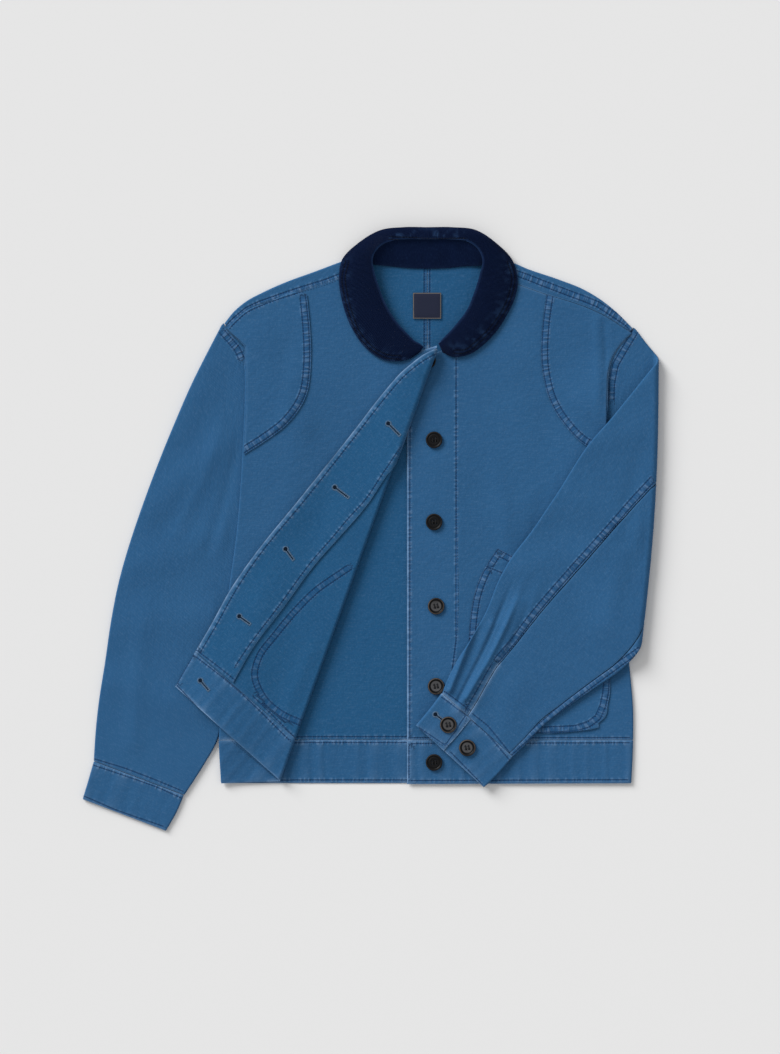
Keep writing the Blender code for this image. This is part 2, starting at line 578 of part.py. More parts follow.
def cuff_path(lap_from, lap_to):
    """A band from beneath the lap, round both edges, to the end of the lap on top of itself."""
    return (across("bottom", const(lap_from), const(1.0), 6) + arc_steps("inner", math.pi, 0, 5)
            + across("top", const(1.0), const(0.0), 7) + arc_steps("lap_edge", 0, math.pi, 5)
            + across("lap", const(0.0), const(lap_to), 3))


def ring_path(flat):
    return (across("top", const(0.0), const(1.0), flat) + arc_steps("inner", 0, math.pi, 5)
            + across("bottom", const(1.0), const(0.0), flat) + arc_steps("outer", math.pi, 0, 5))


# ---- the rest ---------------------------------------------------------------

def bezier(a, b, c, count):
    t = np.linspace(0, 1, count)[None, :, None]
    return (1 - t) ** 2 * a[:, None] + 2 * t * (1 - t) * b[:, None] + t**2 * c[:, None]


def section_walls(middle):
    """The two faces of a wall about a surface whose columns run across it."""
    along_rows = np.gradient(middle, axis=0)
    along_columns = np.gradient(middle, axis=1)
    square = np.cross(along_rows, along_columns)
    square /= np.linalg.norm(square, axis=2)[..., None]
    return wall_faces(middle, square)


def button(name, x, y, z, lift):
    """A round button with a raised rim."""
    radius = BUTTON_D / 2
    profile = ((0.0, 0.0), (radius * 0.8, 0.0), (radius, 0.9), (radius * 0.96, BUTTON_H), (radius * 0.74, BUTTON_H),
               (radius * 0.62, BUTTON_H - 0.9), (0.0, BUTTON_H - 0.9))
    mesh = bmesh.new()
    verts = [mesh.verts.new((r, 0.0, h)) for r, h in profile]
    edges = [mesh.edges.new(pair) for pair in zip(verts, verts[1:])]
    bmesh.ops.spin(mesh, geom=verts + edges, axis=(0, 0, 1), cent=(0, 0, 0), steps=16, angle=math.tau)
    bmesh.ops.remove_doubles(mesh, verts=mesh.verts, dist=1e-3)
    bmesh.ops.triangulate(mesh, faces=mesh.faces)
    bmesh.ops.recalc_face_normals(mesh, faces=mesh.faces)
    for vertex in mesh.verts:
        vertex.co.x += x
        vertex.co.y += y
        vertex.co.z += z + lift
    return paint(finish(name, mesh), "button_black", (0.02, 0.018, 0.018), 0.4)


def band(name, edge, side, columns, rows, move=None, cuts=None):
    """Waistband of one front, from the closing edge round the side fold."""
    share = np.linspace(0, 1, rows)
    closing = along(edge, share)
    heights = np.linspace(0, HEM_SEAM - SEAM, rows)
    outer_edge = np.column_stack([table(side, heights), heights])
    square = outward(outer_edge, (0, 30))
    square[-1] = (np.sign(square[-1, 0]), 0.0)
    inset = outer_edge - square * EDGE
    spread = (1 - (1 - np.linspace(0, 1, columns)) ** 1.2)[None, :, None]
    plan = closing[:, None] * (1 - spread) + inset[:, None] * spread
    middle, direction = flat_layer(plan, FRONT_Z)
    out, high, facing_out, facing_up = bend_path(np.repeat(BEND_RUNS[None], rows, 0))
    turned = np.dstack([inset[:, None] + square[:, None] * out[..., None], (FRONT_Z - BEND) + high])
    turned_dir = np.dstack([square[:, None] * facing_out[..., None], facing_up])
    middle, direction = np.concatenate([middle, turned], 1), np.concatenate([direction, turned_dir], 1)
    return cloth(layer(name, middle, direction, move, cuts))


def facing_row(y):
    """The two edges of the facing at a height: its inner edge or the crease, and the closing edge."""
    foot, line, square = fold_frame(FLAP_FOOT, FLAP_TOP)
    past = math.pi * 0.47 * (FLAP_AXIS - FRONT_Z)
    crease = foot[0] + (y - foot[1]) * line[0] / line[1] + past / square[0]
    return max(float(table(FACING_IN, y)), crease), float(table(FLAP_EDGE, y)) - 0.4


def cloth_collar(thing):
    return paint(thing, "navy_corduroy", (0.004, 0.012, 0.035), 0.95)


def label(thing):
    return paint(thing, "navy_label", (0.008, 0.02, 0.05), 0.8)


def arm_settle(x, y):
    """Height added to the folded sleeve at a point of the plan."""
    x, y = np.float64(x), np.float64(y)
    return ridges(x, y, BODY_FOLDS) + over_sleeves(x, y) - OVER_SLEEVE + ridges(x, y, PLEATS)


def clear_scene():
    for thing in list(bpy.data.objects):
        bpy.data.objects.remove(thing, do_unlink=True)


clear_scene()
JACKET = bpy.data.collections.new("hunting_jacket")
bpy.context.scene.collection.children.link(JACKET)
ROOT = bpy.data.objects.new("hunting_jacket_root", None)
JACKET.objects.link(ROOT)
TO_PART = Matrix.Diagonal((MM, MM, MM, 1)) @ Matrix.Translation((-MIDDLE[0], -MIDDLE[1], 0))

# Back, cut in two halves with a centre seam
back("back_right", 0.4, ((0.4, 616), (-33, 618), (-62, 622), (-78, 632)), TOP_RIGHT, SHOULDER_RIGHT, SIDE_RIGHT,
     ARMHOLE_RIGHT, 12, 20)
back("back_left", 0.7, ((0.7, 616), (35, 618), (62, 621), (78, 628)), TOP_LEFT, SHOULDER_LEFT, SIDE_LEFT,
     ARMHOLE_LEFT, 12, 21)

# Fronts
front("front_left", ((-24, HEM_SEAM), (-24, 514)), NECK_LEFT, SHOULDER_LEFT, SIDE_LEFT, ARMHOLE_LEFT, 13, 21)
front("front_right", [(x, y) for y, x in FLAP_EDGE], NECK_RIGHT, SHOULDER_RIGHT, SIDE_RIGHT, ARMHOLE_RIGHT,
      14, 20, move=fold_flap, cuts=FLAP_CUTS)

# Facing that shows on the open front
facing_heights = np.linspace(57.2, 519, 18)
laid_on("facing_right", [(y, *facing_row(y)) for y in facing_heights], facing_heights, 4, FRONT_Z - STEP - 0.4,
        move=fold_flap, cuts=FLAP_CUTS)

# Patches and pockets
patch("shoulder_patch_left", PATCH_LEFT, SHOULDER_LEFT, SIDE_LEFT, ARMHOLE_LEFT, 7, 12)
patch("shoulder_patch_right", PATCH_RIGHT, SHOULDER_RIGHT, SIDE_RIGHT, ARMHOLE_RIGHT, 7, 12, move=fold_flap)
laid_on("pocket_left", POCKET_LEFT, np.linspace(60.5, 279, 12), 8, FRONT_Z + STEP)
laid_on("pocket_right", POCKET_RIGHT, np.linspace(60.5, 279, 12), 7, FRONT_Z + STEP, move=fold_flap,
        cuts=FLAP_CUTS)

# Waistband
band("waistband_left", ((-24, -1), (-24, HEM_SEAM - SEAM)), SIDE_LEFT, 10, 4)
band("waistband_right", ((-4.5, 9), (3.6, 56 - SEAM)), SIDE_RIGHT, 11, 4, move=fold_flap, cuts=FLAP_CUTS)
laid_on("waistband_back", ((0, -247 + EDGE + RETURN + 0.6, 245 - EDGE - RETURN - 0.6),
                           (HEM_SEAM - SEAM, -249.6 + EDGE + RETURN + 0.6, 247.2 - EDGE - RETURN - 0.6)),
        np.linspace(0, HEM_SEAM - SEAM, 4), 16, BACK_Z)

# Sleeves, each cut in two, and their cuffs
tube_piece("sleeve_right_top", SLEEVE_RIGHT, CAP_RIGHT, 18, top_sleeve_path(0.05), lift=arm_lift)
tube_piece("sleeve_right_under", SLEEVE_RIGHT, CAP_RIGHT, 18, under_sleeve_path(3, 0.05))
tube_piece("sleeve_left_top", SLEEVE_LEFT, CAP_LEFT, 18, top_sleeve_path(0.05), move=fold_arm, cuts=ARM_CUTS)
tube_piece("sleeve_left_under", SLEEVE_LEFT, CAP_LEFT, 20, under_sleeve_path(7, 0.05), move=fold_arm,
           cuts=ARM_CUTS)
tube_piece("cuff_right", CUFF_RIGHT, None, 4, ring_path(7), closed=True)
tube_piece("cuff_left", CUFF_LEFT, None, 4, cuff_path(0.2, 0.36), move=fold_arm)

# Collar
leaf = np.array(LEAF, float)
cloth_collar(solid("collar_leaf", *section_walls(bezier(leaf[:, :3], leaf[:, 3:6], leaf[:, 6:], 7))))
foot = np.array(STAND_FOOT, float)
roll = leaf[1:-1, :3] + (leaf[1:-1, 3:6] - leaf[1:-1, :3]) * (0.08, 0.08, 0.0) - (0, 0, 2.3)
share = np.linspace(0, 1, 3)[None, :, None]
cloth_collar(solid("collar_stand", *section_walls(roll[:, None] * (1 - share) + foot[:, None] * share)))

# Label inside the neck
laid_on("neck_label", ((557, -16.8, 16.8), (588, -16.8, 16.8)), (557, 588), 2, BACK_Z + STEP, slot=label)

# Buttons
for number, (x, y) in enumerate(FRONT_BUTTONS, 1):
    lift = float(body_lift(np.array([x, y, 0.0]))[2])
    button(f"front_button_{number}", x, y, FRONT_Z + WALL / 2 + 2 * SEAM, lift)
for number, (x, y, layers) in enumerate(CUFF_BUTTONS, 1):
    button(f"cuff_button_{number}", x, y, CUFF_TOP + layers * STEP + SEAM, float(arm_settle(x, y)))
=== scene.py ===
# %% [markdown]
# # A hunting jacket laid flat
# The jacket lies on a table, front up. The wearer's right front is folded open, so its inside shows, and the
# left sleeve is folded across the body. The imported solids are the frame. Every cloth piece is rebuilt here
# as a finer shell on the same shape, because the look of a worn canvas jacket lies in its seams, puckers and
# soft folds.

# %% Load the frame
import math
import bmesh
import bpy
import numpy as np
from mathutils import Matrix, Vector
from mathutils.bvhtree import BVHTree


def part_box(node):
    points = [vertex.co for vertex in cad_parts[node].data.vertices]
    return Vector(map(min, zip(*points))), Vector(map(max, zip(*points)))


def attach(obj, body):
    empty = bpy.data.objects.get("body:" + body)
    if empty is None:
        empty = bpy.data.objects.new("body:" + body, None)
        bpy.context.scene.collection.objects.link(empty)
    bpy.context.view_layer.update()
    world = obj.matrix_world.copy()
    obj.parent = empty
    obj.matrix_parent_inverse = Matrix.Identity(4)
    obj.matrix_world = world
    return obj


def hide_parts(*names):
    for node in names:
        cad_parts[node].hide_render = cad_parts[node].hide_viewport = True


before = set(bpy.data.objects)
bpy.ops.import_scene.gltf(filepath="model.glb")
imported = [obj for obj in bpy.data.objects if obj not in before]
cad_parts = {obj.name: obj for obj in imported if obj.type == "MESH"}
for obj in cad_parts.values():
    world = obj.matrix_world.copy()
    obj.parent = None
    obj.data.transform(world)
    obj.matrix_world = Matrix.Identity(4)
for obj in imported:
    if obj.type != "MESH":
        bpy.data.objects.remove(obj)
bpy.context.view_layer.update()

# %% [markdown]
# ## Camera, floor and light
# A flat lay is photographed from straight above with a long lens, so that nothing leans. The camera frames
# 1.265 m from top to bottom. One wide light stands low to the upper left, and a pale world fills the shadows.

# %% Camera
MM = 0.001
MIDDLE = (-67.85, 304.4)  # middle of the outline on the plan, in mm: the plan's point over the frame's origin
FRAME_HEIGHT = 1.2648
FRAME_CENTRE = (-44.4, 307.2)  # plan point in the middle of the picture
LENS, SENSOR = 100.0, 36.0


def place(x, y, z=0.0):
    """A point of the plan, in mm, as a point of the frame, in metres."""
    return ((x - MIDDLE[0]) * MM, (y - MIDDLE[1]) * MM, z * MM)


def show(name, data):
    """A new object in the scene."""
    thing = bpy.data.objects.new(name, data)
    bpy.context.scene.collection.objects.link(thing)
    return thing


camera = show("camera", bpy.data.cameras.new("camera"))
camera.data.lens, camera.data.sensor_width = LENS, SENSOR
camera.location = place(*FRAME_CENTRE, FRAME_HEIGHT / 2 / (SENSOR / 2 / LENS) / MM)
bpy.context.scene.camera = camera
print("camera height", round(camera.location.z, 3))

# %% Light and floor
SUN_FROM = (-0.62, 0.66, 0.47)  # a low light from the upper left, as wide as a window
SUN_POWER, SUN_WIDE = 3.22, math.radians(30)
FLOOR_SIDE = 8.0
FLOOR_GREY = 0.80
WORLD_GREY, WORLD_POWER = 0.9, 0.565

lamp = bpy.data.lights.new("key", "SUN")
lamp.energy, lamp.angle = SUN_POWER, SUN_WIDE
key = show("key", lamp)
key.rotation_euler = (-Vector(SUN_FROM)).to_track_quat("-Z", "Y").to_euler()
world = bpy.data.worlds.new("studio")
world.use_nodes = True
sky = world.node_tree.nodes["Background"].inputs
sky["Color"].default_value = (WORLD_GREY, WORLD_GREY, WORLD_GREY, 1)
sky["Strength"].default_value = WORLD_POWER
bpy.context.scene.world = world
bpy.context.scene.view_settings.view_transform = "Standard"

floor_mesh = bpy.data.meshes.new("floor")
half = FLOOR_SIDE / 2
corners = [(-half, -half, 0), (half, -half, 0), (half, half, 0), (-half, half, 0)]
floor_mesh.from_pydata(corners, [], [(0, 1, 2, 3)])
floor = show("floor", floor_mesh)
floor.location.z = -0.0003

# %% [markdown]
# ## Writing materials as sums
# A material is a graph, and a graph of thirty maths nodes is hard to read. A small class wraps one socket,
# and its operators add the nodes, so that a mask is written as a sum. Colours go through Mix nodes, since a
# Math node would turn them grey.

# %% Wires and finishes
class Wire:
    """A value on its way through a material."""

    def __init__(self, finish, socket):
        self.finish, self.socket = finish, socket

    def maths(self, operation, *values):
        return self.finish.add("ShaderNodeMath", {"operation": operation}, dict(enumerate(values)))

    def __add__(self, other):
        return self.maths("ADD", self, other)

    def __sub__(self, other):
        return self.maths("SUBTRACT", self, other)

    def __rsub__(self, other):
        return self.maths("SUBTRACT", other, self)

    def __mul__(self, other):
        return self.maths("MULTIPLY", self, other)

    def __abs__(self):
        return self.maths("ABSOLUTE", self)

    __radd__, __rmul__ = __add__, __mul__

    def fade(self, near, far):
        """1 at near, 0 at far, smooth between them."""
        return self.finish.add("ShaderNodeMapRange", {"interpolation_type": "SMOOTHSTEP"},
                               {"Value": self, "From Min": near, "From Max": far, "To Min": 1.0,
                                "To Max": 0.0})


class Finish:
    """A material with one Principled shader."""

    def __init__(self, name, **fixed):
        self.material = bpy.data.materials.new(name)
        self.material.use_nodes = True
        self.nodes = self.material.node_tree.nodes
        self.shader = self.nodes["Principled BSDF"]
        for socket, value in fixed.items():
            self.shader.inputs[socket.replace("_", " ")].default_value = value

    def add(self, kind, settings=None, sockets=None, out=0):
        node = self.nodes.new(kind)
        for key, value in (settings or {}).items():
            setattr(node, key, value)
        for key, value in (sockets or {}).items():
            self.join(value, node.inputs[key])
        return Wire(self, node.outputs[out])

    def join(self, value, socket):
        if isinstance(value, Wire):
            self.material.node_tree.links.new(value.socket, socket)
        else:
            socket.default_value = value

    def attribute(self, name):
        return self.add("ShaderNodeAttribute", {"attribute_name": name}, out="Fac")

    def uv(self, scale):
        """The piece's own cloth coordinates, in metres, times a scale."""
        cloth = self.add("ShaderNodeUVMap", {"uv_map": "cut"})
        return self.add("ShaderNodeMapping", {}, {"Vector": cloth, "Scale": scale})

    def noise(self, where, scale, detail=2.0, rough=0.5):
        return self.add("ShaderNodeTexNoise", {}, {"Vector": where, "Scale": scale, "Detail": detail,
                                                   "Roughness": rough})

    def mix(self, share, one, other):
        return self.add("ShaderNodeMix", {"data_type": "RGBA"}, {0: share, 6: one, 7: other}, out=2)

    def bump(self, height, distance, strength, normal=None):
        sockets = {"Height": height, "Distance": distance, "Strength": strength}
        if normal is not None:
            sockets["Normal"] = normal
        return self.add("ShaderNodeBump", {}, sockets)

    def set(self, **sockets):
        for socket, value in sockets.items():
            self.join(value, self.shader.inputs[socket.replace("_", " ")])


def colour(red, green, blue):
    """A colour given as on a screen, 0 to 255, in the renderer's own linear values."""
    def linear(v):
        v /= 255
        return v / 12.92 if v <= 0.04045 else ((v + 0.055) / 1.055) ** 2.4
    return (linear(red), linear(green), linear(blue), 1.0)


floor_finish = Finish("pale_floor", Roughness=0.9, Base_Color=(FLOOR_GREY, FLOOR_GREY, FLOOR_GREY, 1))
floor.data.materials.append(floor_finish.material)

# %% [markdown]
# ## The canvas
# Garment-dyed canvas is dyed after sewing. The dye settles deep in the stitch lines, and the dark line there
# is also painted shade of the groove under each row. Wear takes the dye off the raised puckers and edges
# beside them. So each piece carries its own distances: to its stitch lines, to its edge, and how far a spot
# stands proud. The colour follows those, with the weave and a slow mottle over them.

# %% Canvas
OUTSIDE = colour(43, 90, 132)
INSIDE = colour(32, 84, 125)
WORN = colour(124, 156, 192)
DEEP = colour(10, 56, 102)
THREAD_PITCH = 0.0009  # of the weave, in metres
GROOVE = 0.7  # half width of the dark line at a stitch row, in mm
PITCH = 7.0  # from one pucker of a seam to the next, in mm
SINGLE_REACH = 4.5  # of the puckers beside a single row, in mm
ROW_REACH = (5.2, 6.8)  # from a band's middle to where its marks fade and end, in mm


def canvas():
    finish = Finish("blue_canvas", Roughness=0.88, Sheen_Weight=0.03, Sheen_Roughness=0.6,
                    Specular_IOR_Level=0.08)
    cut = finish.uv((1, 1, 1))
    slow = finish.noise(cut, 14.0, 3.0)
    blotch = finish.noise(cut, 75.0, 4.0, 0.6)
    slub = finish.noise(finish.uv((60.0, 1400.0, 1.0)), 1.0, 1.0)
    fleck = finish.noise(finish.uv((900.0, 900.0, 1.0)), 1.0, 1.0)
    heather = finish.noise(finish.uv((420.0, 300.0, 1.0)), 1.0, 2.0)
    base = finish.mix(finish.attribute("reverse"), OUTSIDE, INSIDE)
    base = finish.mix(slow * 0.5 + blotch * 0.42 - 0.33, base, finish.mix(0.38, base, DEEP))
    base = finish.mix((slub + fleck + heather) * 0.5 - 0.74, base, finish.mix(0.5, base, WORN))
    band = abs(finish.attribute("band"))
    gap, shown = finish.attribute("gap"), finish.attribute("far").fade(*ROW_REACH)
    along = finish.add("ShaderNodeCombineXYZ", {}, {0: finish.attribute("run") * (1.5 / PITCH),
                                                    1: finish.attribute("band") * 0.04})
    crest = finish.noise(along, 1.0, 1.0).fade(0.62, 0.45) * shown
    pucker = crest * (band - gap).fade(-0.8, SINGLE_REACH) * finish.attribute("pucker")
    single = gap.fade(0.2, 0.8)
    felled = (band - gap).fade(-0.3, 0.5) * shown
    base = finish.mix(felled * 0.3, base, DEEP)
    base = finish.mix(pucker * (blotch * 0.42 + 0.08 + single * 0.22), base, WORN)
    base = finish.mix(finish.attribute("rub") * (blotch * 1.0 + 0.4), base, WORN)
    # dark line at each stitch row: partly dye settled in the seam, partly painted shade of the groove
    groove = abs(band - gap).fade(GROOVE * 0.3, GROOVE * 1.7) * shown
    base = finish.mix(groove * 0.7, base, DEEP)
    twill = finish.add("ShaderNodeTexWave", {"wave_type": "BANDS", "bands_direction": "DIAGONAL"},
                       {"Vector": cut, "Scale": 0.32 / THREAD_PITCH, "Distortion": 1.2, "Detail": 1.0})
    woven = finish.bump(twill + fleck * 0.8, 0.00025, 0.35)
    crumple = finish.noise(cut, 160.0, 3.0, 0.55)
    soft = finish.bump(crumple + slow * 1.5, 0.0016, 0.38, woven)
    soft = finish.bump(pucker - groove * 0.8, 0.0007, 0.9, soft)
    finish.set(Base_Color=base, Normal=soft, Roughness=blotch * 0.12 + 0.8)
    return finish.material


CANVAS = canvas()
print("canvas nodes", len(CANVAS.node_tree.nodes))

# %% [markdown]
# ## The jacket's plan
# The shapes come from the flat cut pieces: where each seam runs when the jacket lies on the table, in
# millimetres, with X towards the wearer's left and Y towards the collar. A fold is a line on that plan about
# which everything past it is turned over, so the open front is drawn unfolded first.

# %% Cloth sizes and the two folds
WALL = 1.2  # cloth with its turnings pressed
GAP = 0.6  # between layers that lie on each other
STEP = WALL + GAP
SEAM = 0.3  # between pieces sewn edge to edge
BACK_Z = WALL / 2  # middle of the layer on the table
FRONT_Z = BACK_Z + 2.2  # middle of the layer above it
BEND = (FRONT_Z - BACK_Z) / 2  # bend at a side fold, to the middle of the wall
EDGE = BEND + WALL / 2  # from a side fold's outline to where its bend starts
RETURN = 6.0  # cloth that comes back beneath a side fold
OVER_SLEEVE = 4.0  # rise of the body where a sleeve passes beneath
HEM_SEAM = 52.0
# Fold of the wearer's right front: a line on the plan, and the height its layers turn about
FLAP_FOOT = (-180.4, 1.2)
FLAP_TOP = (8.7, 524.4)
FLAP_AXIS = FRONT_Z + WALL / 2 + (2 * WALL + 3 * GAP + 0.8) / 2
# Fold of the left sleeve
ARM_FOOT = (250.2, 166.0)
ARM_TOP = (270.6, 508.0)
ARM_BOW = 6.0
ARM_AXIS = 6.9

# %% Where the seams run
# Side fold of each half below the armhole, from the hem up: height, x
SIDE_RIGHT = ((0, -247.0), (53, -249.6), (240, -236.4), (292, -229.2), (403, -220.8), (458, -218.4),
              (520, -218.4))
SIDE_LEFT = ((0, 245.0), (50, 247.2), (85, 247.2), (145, 242.4), (260, 232.0), (364, 221.0), (436, 216.0),
             (470, 216.6))
# Armhole edge above the side fold, going up: x, y
ARMHOLE_RIGHT = ((-218.4, 523), (-221, 526), (-236, 540), (-241, 545))
ARMHOLE_LEFT = ((216.6, 471), (217.6, 491), (223.5, 511), (238.5, 532), (246, 539))
# Shoulder seam on the front, neck to armhole: x, y
SHOULDER_RIGHT = ((-86, 611), (-119, 600), (-152, 589), (-191, 577), (-211, 570), (-222, 562), (-238, 546))
SHOULDER_LEFT = ((86, 606), (106, 599), (143, 586), (190, 571), (208, 563), (244, 541))
# Outline of the shoulder, neck to armhole: x, y
TOP_RIGHT = ((-78, 634), (-104, 625), (-136, 613), (-169, 601), (-196, 589), (-218, 577), (-232, 565),
             (-243, 551))
TOP_LEFT = ((78, 630), (101, 625), (120, 617), (158, 604), (188, 592), (211, 578), (227, 565), (247, 545))
# Neckline of each front, centre to shoulder: x, y
NECK_RIGHT = ((12, 524), (-20, 518), (-35, 525), (-55, 543), (-68, 562), (-78, 585), (-86, 611))
NECK_LEFT = ((-24, 514), (10, 516), (30, 526), (50, 544), (66, 565), (78, 585), (86, 606))
# Inner edge of each sleeve under the body, going down: y, x
UNDER_RIGHT = ((0, -282), (25, -266), (53, -250), (88, -241), (148, -229), (220, -212), (292, -191),
               (364, -174), (424, -176), (484, -198), (525, -218))
UNDER_LEFT = ((100, 330), (150, 285), (175, 255), (260, 228), (304, 206), (352, 185), (424, 197), (474, 216))

# Sleeves laid straight, shoulder to cuff: outer x, outer y, inner x, inner y
SLEEVE_RIGHT = ((-245.6, 550.4, -174, 364), (-263, 517, -180, 335), (-281, 481, -188, 305),
                (-302, 433, -198, 270), (-321.6, 385, -208, 236), (-339.6, 337, -217, 200),
                (-356, 289, -226, 162), (-369.6, 241, -234, 124), (-379, 193, -243, 84),
                (-386, 145, -252, 50), (-393.6, 97, -264, 28), (-397.5, 60, -277, 7),
                (-399.6, 27, -291, -14))
SLEEVE_LEFT = ((249, 545.5, 185, 352), (264, 526, 197, 318), (279, 508, 208, 296), (308, 466, 219, 272),
               (334, 428, 229, 250), (353, 402, 236, 232), (388, 334, 252, 190), (411, 288, 262, 160),
               (433, 248, 283, 131), (442, 224, 300, 116), (451, 184, 321, 98), (464, 149, 343, 78),
               (476, 124, 362, 60), (487, 93, 383, 32), (490, 80, 397, 15))
# Line of each armhole on the sleeve, outer to inner: x, y
CAP_RIGHT = ((-245.6, 550.4), (-242, 544), (-237.4, 538.8), (-221.6, 525.4), (-205, 500), (-196, 470),
             (-176, 424), (-174, 364))
CAP_LEFT = ((249, 545.5), (246.6, 538.2), (239.2, 531.3), (224.3, 510.5), (218.5, 490.6), (217.3, 471),
            (205, 435), (190, 385), (185, 352))
ELBOW_AT = ((0.0, 0.62), (0.35, 0.42), (0.6, 0.42), (0.8, 0.45), (1.0, 0.36))  # along the sleeve, across it

# Cuffs laid straight, seam to edge: outer x, outer y, inner x, inner y
CUFF_RIGHT = ((-399.6, 26.4, -291.6, -14.4), (-406, 4, -300, -34), (-413, -19, -313, -57))
CUFF_LEFT = ((490.2, 79.7, 397.2, 14.7), (503, 58, 412, -7), (516, 38, 427, -26))

# Shoulder patches: the edge towards the centre, going down: y, x
PATCH_RIGHT = ((586, -144), (538, -139.7), (502, -139.2), (464, -145), (432, -165.6), (412, -190.8),
               (394, -219))
PATCH_LEFT = ((586, 143), (548, 138), (494, 138), (457, 147.6), (428, 165.6), (405, 189.6), (396, 215))
# Pockets: height, edge towards the centre, edge towards the side
POCKET_RIGHT = ((281, -84, -86), (257, -73, -132), (226, -60, -196), (202, -54, -207), (146, -49, -209),
                (103, -57, -207), (77, -70, -197), (63, -92, -170), (59, -118, -150))
POCKET_LEFT = ((281, 84, 86), (255, 67.5, 136), (224, 56, 200), (200, 52, 216), (150, 50, 219),
               (126, 51, 219.6), (98, 56, 217), (73, 70, 206), (63, 90, 186), (60, 112, 150))

# Collar leaf, wearer's right end round the back to the left end:
# roll x, y, z; belly x, y, z; outer x, y, z
LEAF = (
    (-4, 522.5, 10.4, -6, 520, 11.4, -8, 517, 9.0),
    (-8, 526, 10.6, -16, 517, 12.0, -22, 508, 8.8),
    (-15, 530, 10.6, -27, 518, 12.6, -38, 505.5, 8.0),
    (-24, 539, 10.6, -41, 525, 12.8, -56, 509, 7.0),
    (-35, 551, 10.6, -55, 536, 12.9, -74, 522, 6.0),
    (-47, 569, 10.8, -68, 557, 13.2, -91, 547, 5.4),
    (-57, 593, 11.6, -80, 587, 14.0, -103, 583, 5.2),
    (-63, 612, 12.6, -86, 612, 15.0, -105.6, 607, 5.2),
    (-65, 628, 13.6, -86, 634, 16.0, -102, 627, 6.0),
    (-58, 641, 14.4, -74, 655, 16.0, -87, 643, 4.0),
    (-43, 649, 14.8, -53, 672, 15.0, -62, 655, 1.4),
    (-24, 651, 15.0, -28, 679, 13.5, -36, 652, 0.8),
    (1, 651, 15.0, 1, 680, 13.0, 1, 650, 0.8),
    (26, 651, 15.0, 30, 679, 13.5, 38, 652, 0.8),
    (46, 649, 14.8, 56, 672, 15.0, 65, 655, 1.4),
    (60, 640, 14.4, 76, 654, 16.0, 87, 643, 4.0),
    (66, 626, 13.6, 86, 632, 16.0, 102, 627, 6.0),
    (63, 610, 12.6, 86, 610, 15.0, 108.5, 606, 5.2),
    (56, 587, 11.6, 79, 582, 14.0, 105.6, 583, 5.2),
    (47, 566, 10.8, 69, 555, 13.2, 95, 560, 5.4),
    (34, 549, 10.2, 55, 536, 12.6, 81, 539, 5.8),
    (26, 540, 9.8, 46, 528, 12.2, 66, 524, 6.0),
    (19, 533, 9.4, 33, 521, 11.6, 48, 513, 6.0),
    (15.5, 529.5, 9.0, 23, 519, 10.6, 30, 511, 6.0),
    (13, 527, 8.5, 16, 521, 9.6, 18.5, 516.5, 6.0),
)
# Neck seam of the collar stand, beside each row of the leaf but the first and last: x, y, z
STAND_FOOT = (
    (-16, 516.5, 8.9), (-27, 519, 8.4), (-39, 530, 7.2), (-50, 541, 6.2), (-64, 562, 5.2), (-76, 588, 4.9),
    (-79, 611, 4.9), (-72, 622, 4.4), (-59, 621, 3.2), (-43, 619.6, 2.4), (-23, 617.6, 2.2), (1, 616.8, 2.2),
    (25, 617.6, 2.2), (45, 619.6, 2.4), (61, 620, 3.2), (73, 620, 4.4), (79, 608, 4.9), (75, 583, 4.9),
    (64, 560, 4.9), (50, 541, 4.9), (39, 532, 4.9), (28, 526, 4.9), (21, 522, 4.9),
)

# Soft folds of the top layers: from x, y, to x, y, half width, height
BODY_FOLDS = ((-215, 500, -150, 430, 16, 1.6), (215, 440, 150, 470, 18, 1.4), (20, 380, 40, 120, 26, 1.2),
              (110, 500, 130, 330, 30, 1.5), (-150, 480, -110, 330, 28, 1.5), (90, 60, 110, 120, 16, 0.9),
              (-20, 60, -8, 110, 14, 0.8), (40, 58, 30, 110, 14, 0.8))
ARM_FOLDS = ((-262, 500, -300, 420, 18, 1.6), (-250, 400, -330, 330, 20, 2.0),
             (-240, 300, -350, 260, 20, 1.6), (-262, 200, -372, 190, 22, 1.4),
             (-280, 90, -375, 120, 18, 1.5), (240, 420, 170, 400, 18, 1.6), (255, 300, 150, 350, 22, 1.8),
             (120, 260, 200, 280, 20, 1.5))
# Pleats let into the left cuff, on the folded sleeve: from x, y, to x, y, half width, height
PLEATS = ((38, 88, 78, 190, 7, 2.2), (54, 102, 110, 216, 8, 2.2))

# %% The open front, laid straight
# Closing edge of the right front laid straight, and the inner edge of its facing, going up: y, x
FLAP_EDGE = ((56, 3.6), (95, 10.3), (143, 19.5), (181, 23), (281, 25), (378, 27), (443, 29), (472, 28),
             (488, 25), (507, 20), (524, 12))
FACING_IN = ((57, -55), (102, -47), (161, -44), (233, -40), (265, -41), (326, -42), (362, -38), (530, -36))
print("cap seams", len(CAP_RIGHT), len(CAP_LEFT), "collar sections", len(LEAF))

# %% [markdown]
# ## Lines through few points
# A seam is given by a handful of points. A smooth line through them keeps the outline soft, and it can be
# read at any share of its length, with extra rows close to an edge, where the cloth turns in on itself.

# %% Lines
SPACING = 2.6  # of the mesh where the cloth shows, in mm
RIM_STEPS = (0.0, 0.35, 0.9, 1.7)  # of the rows beside an edge, in mm


def smooth(t):
    t = np.clip(t, 0.0, 1.0)
    return t * t * (3.0 - 2.0 * t)


def hermite(values, slope, k, h, t):
    """Smooth values between each k and the next, h apart, at a share t of the way."""
    return ((2 * t**3 - 3 * t**2 + 1) * values[k] + (t**3 - 2 * t**2 + t) * h * slope[k]
            + (3 * t**2 - 2 * t**3) * values[k + 1] + (t**3 - t**2) * h * slope[k + 1])


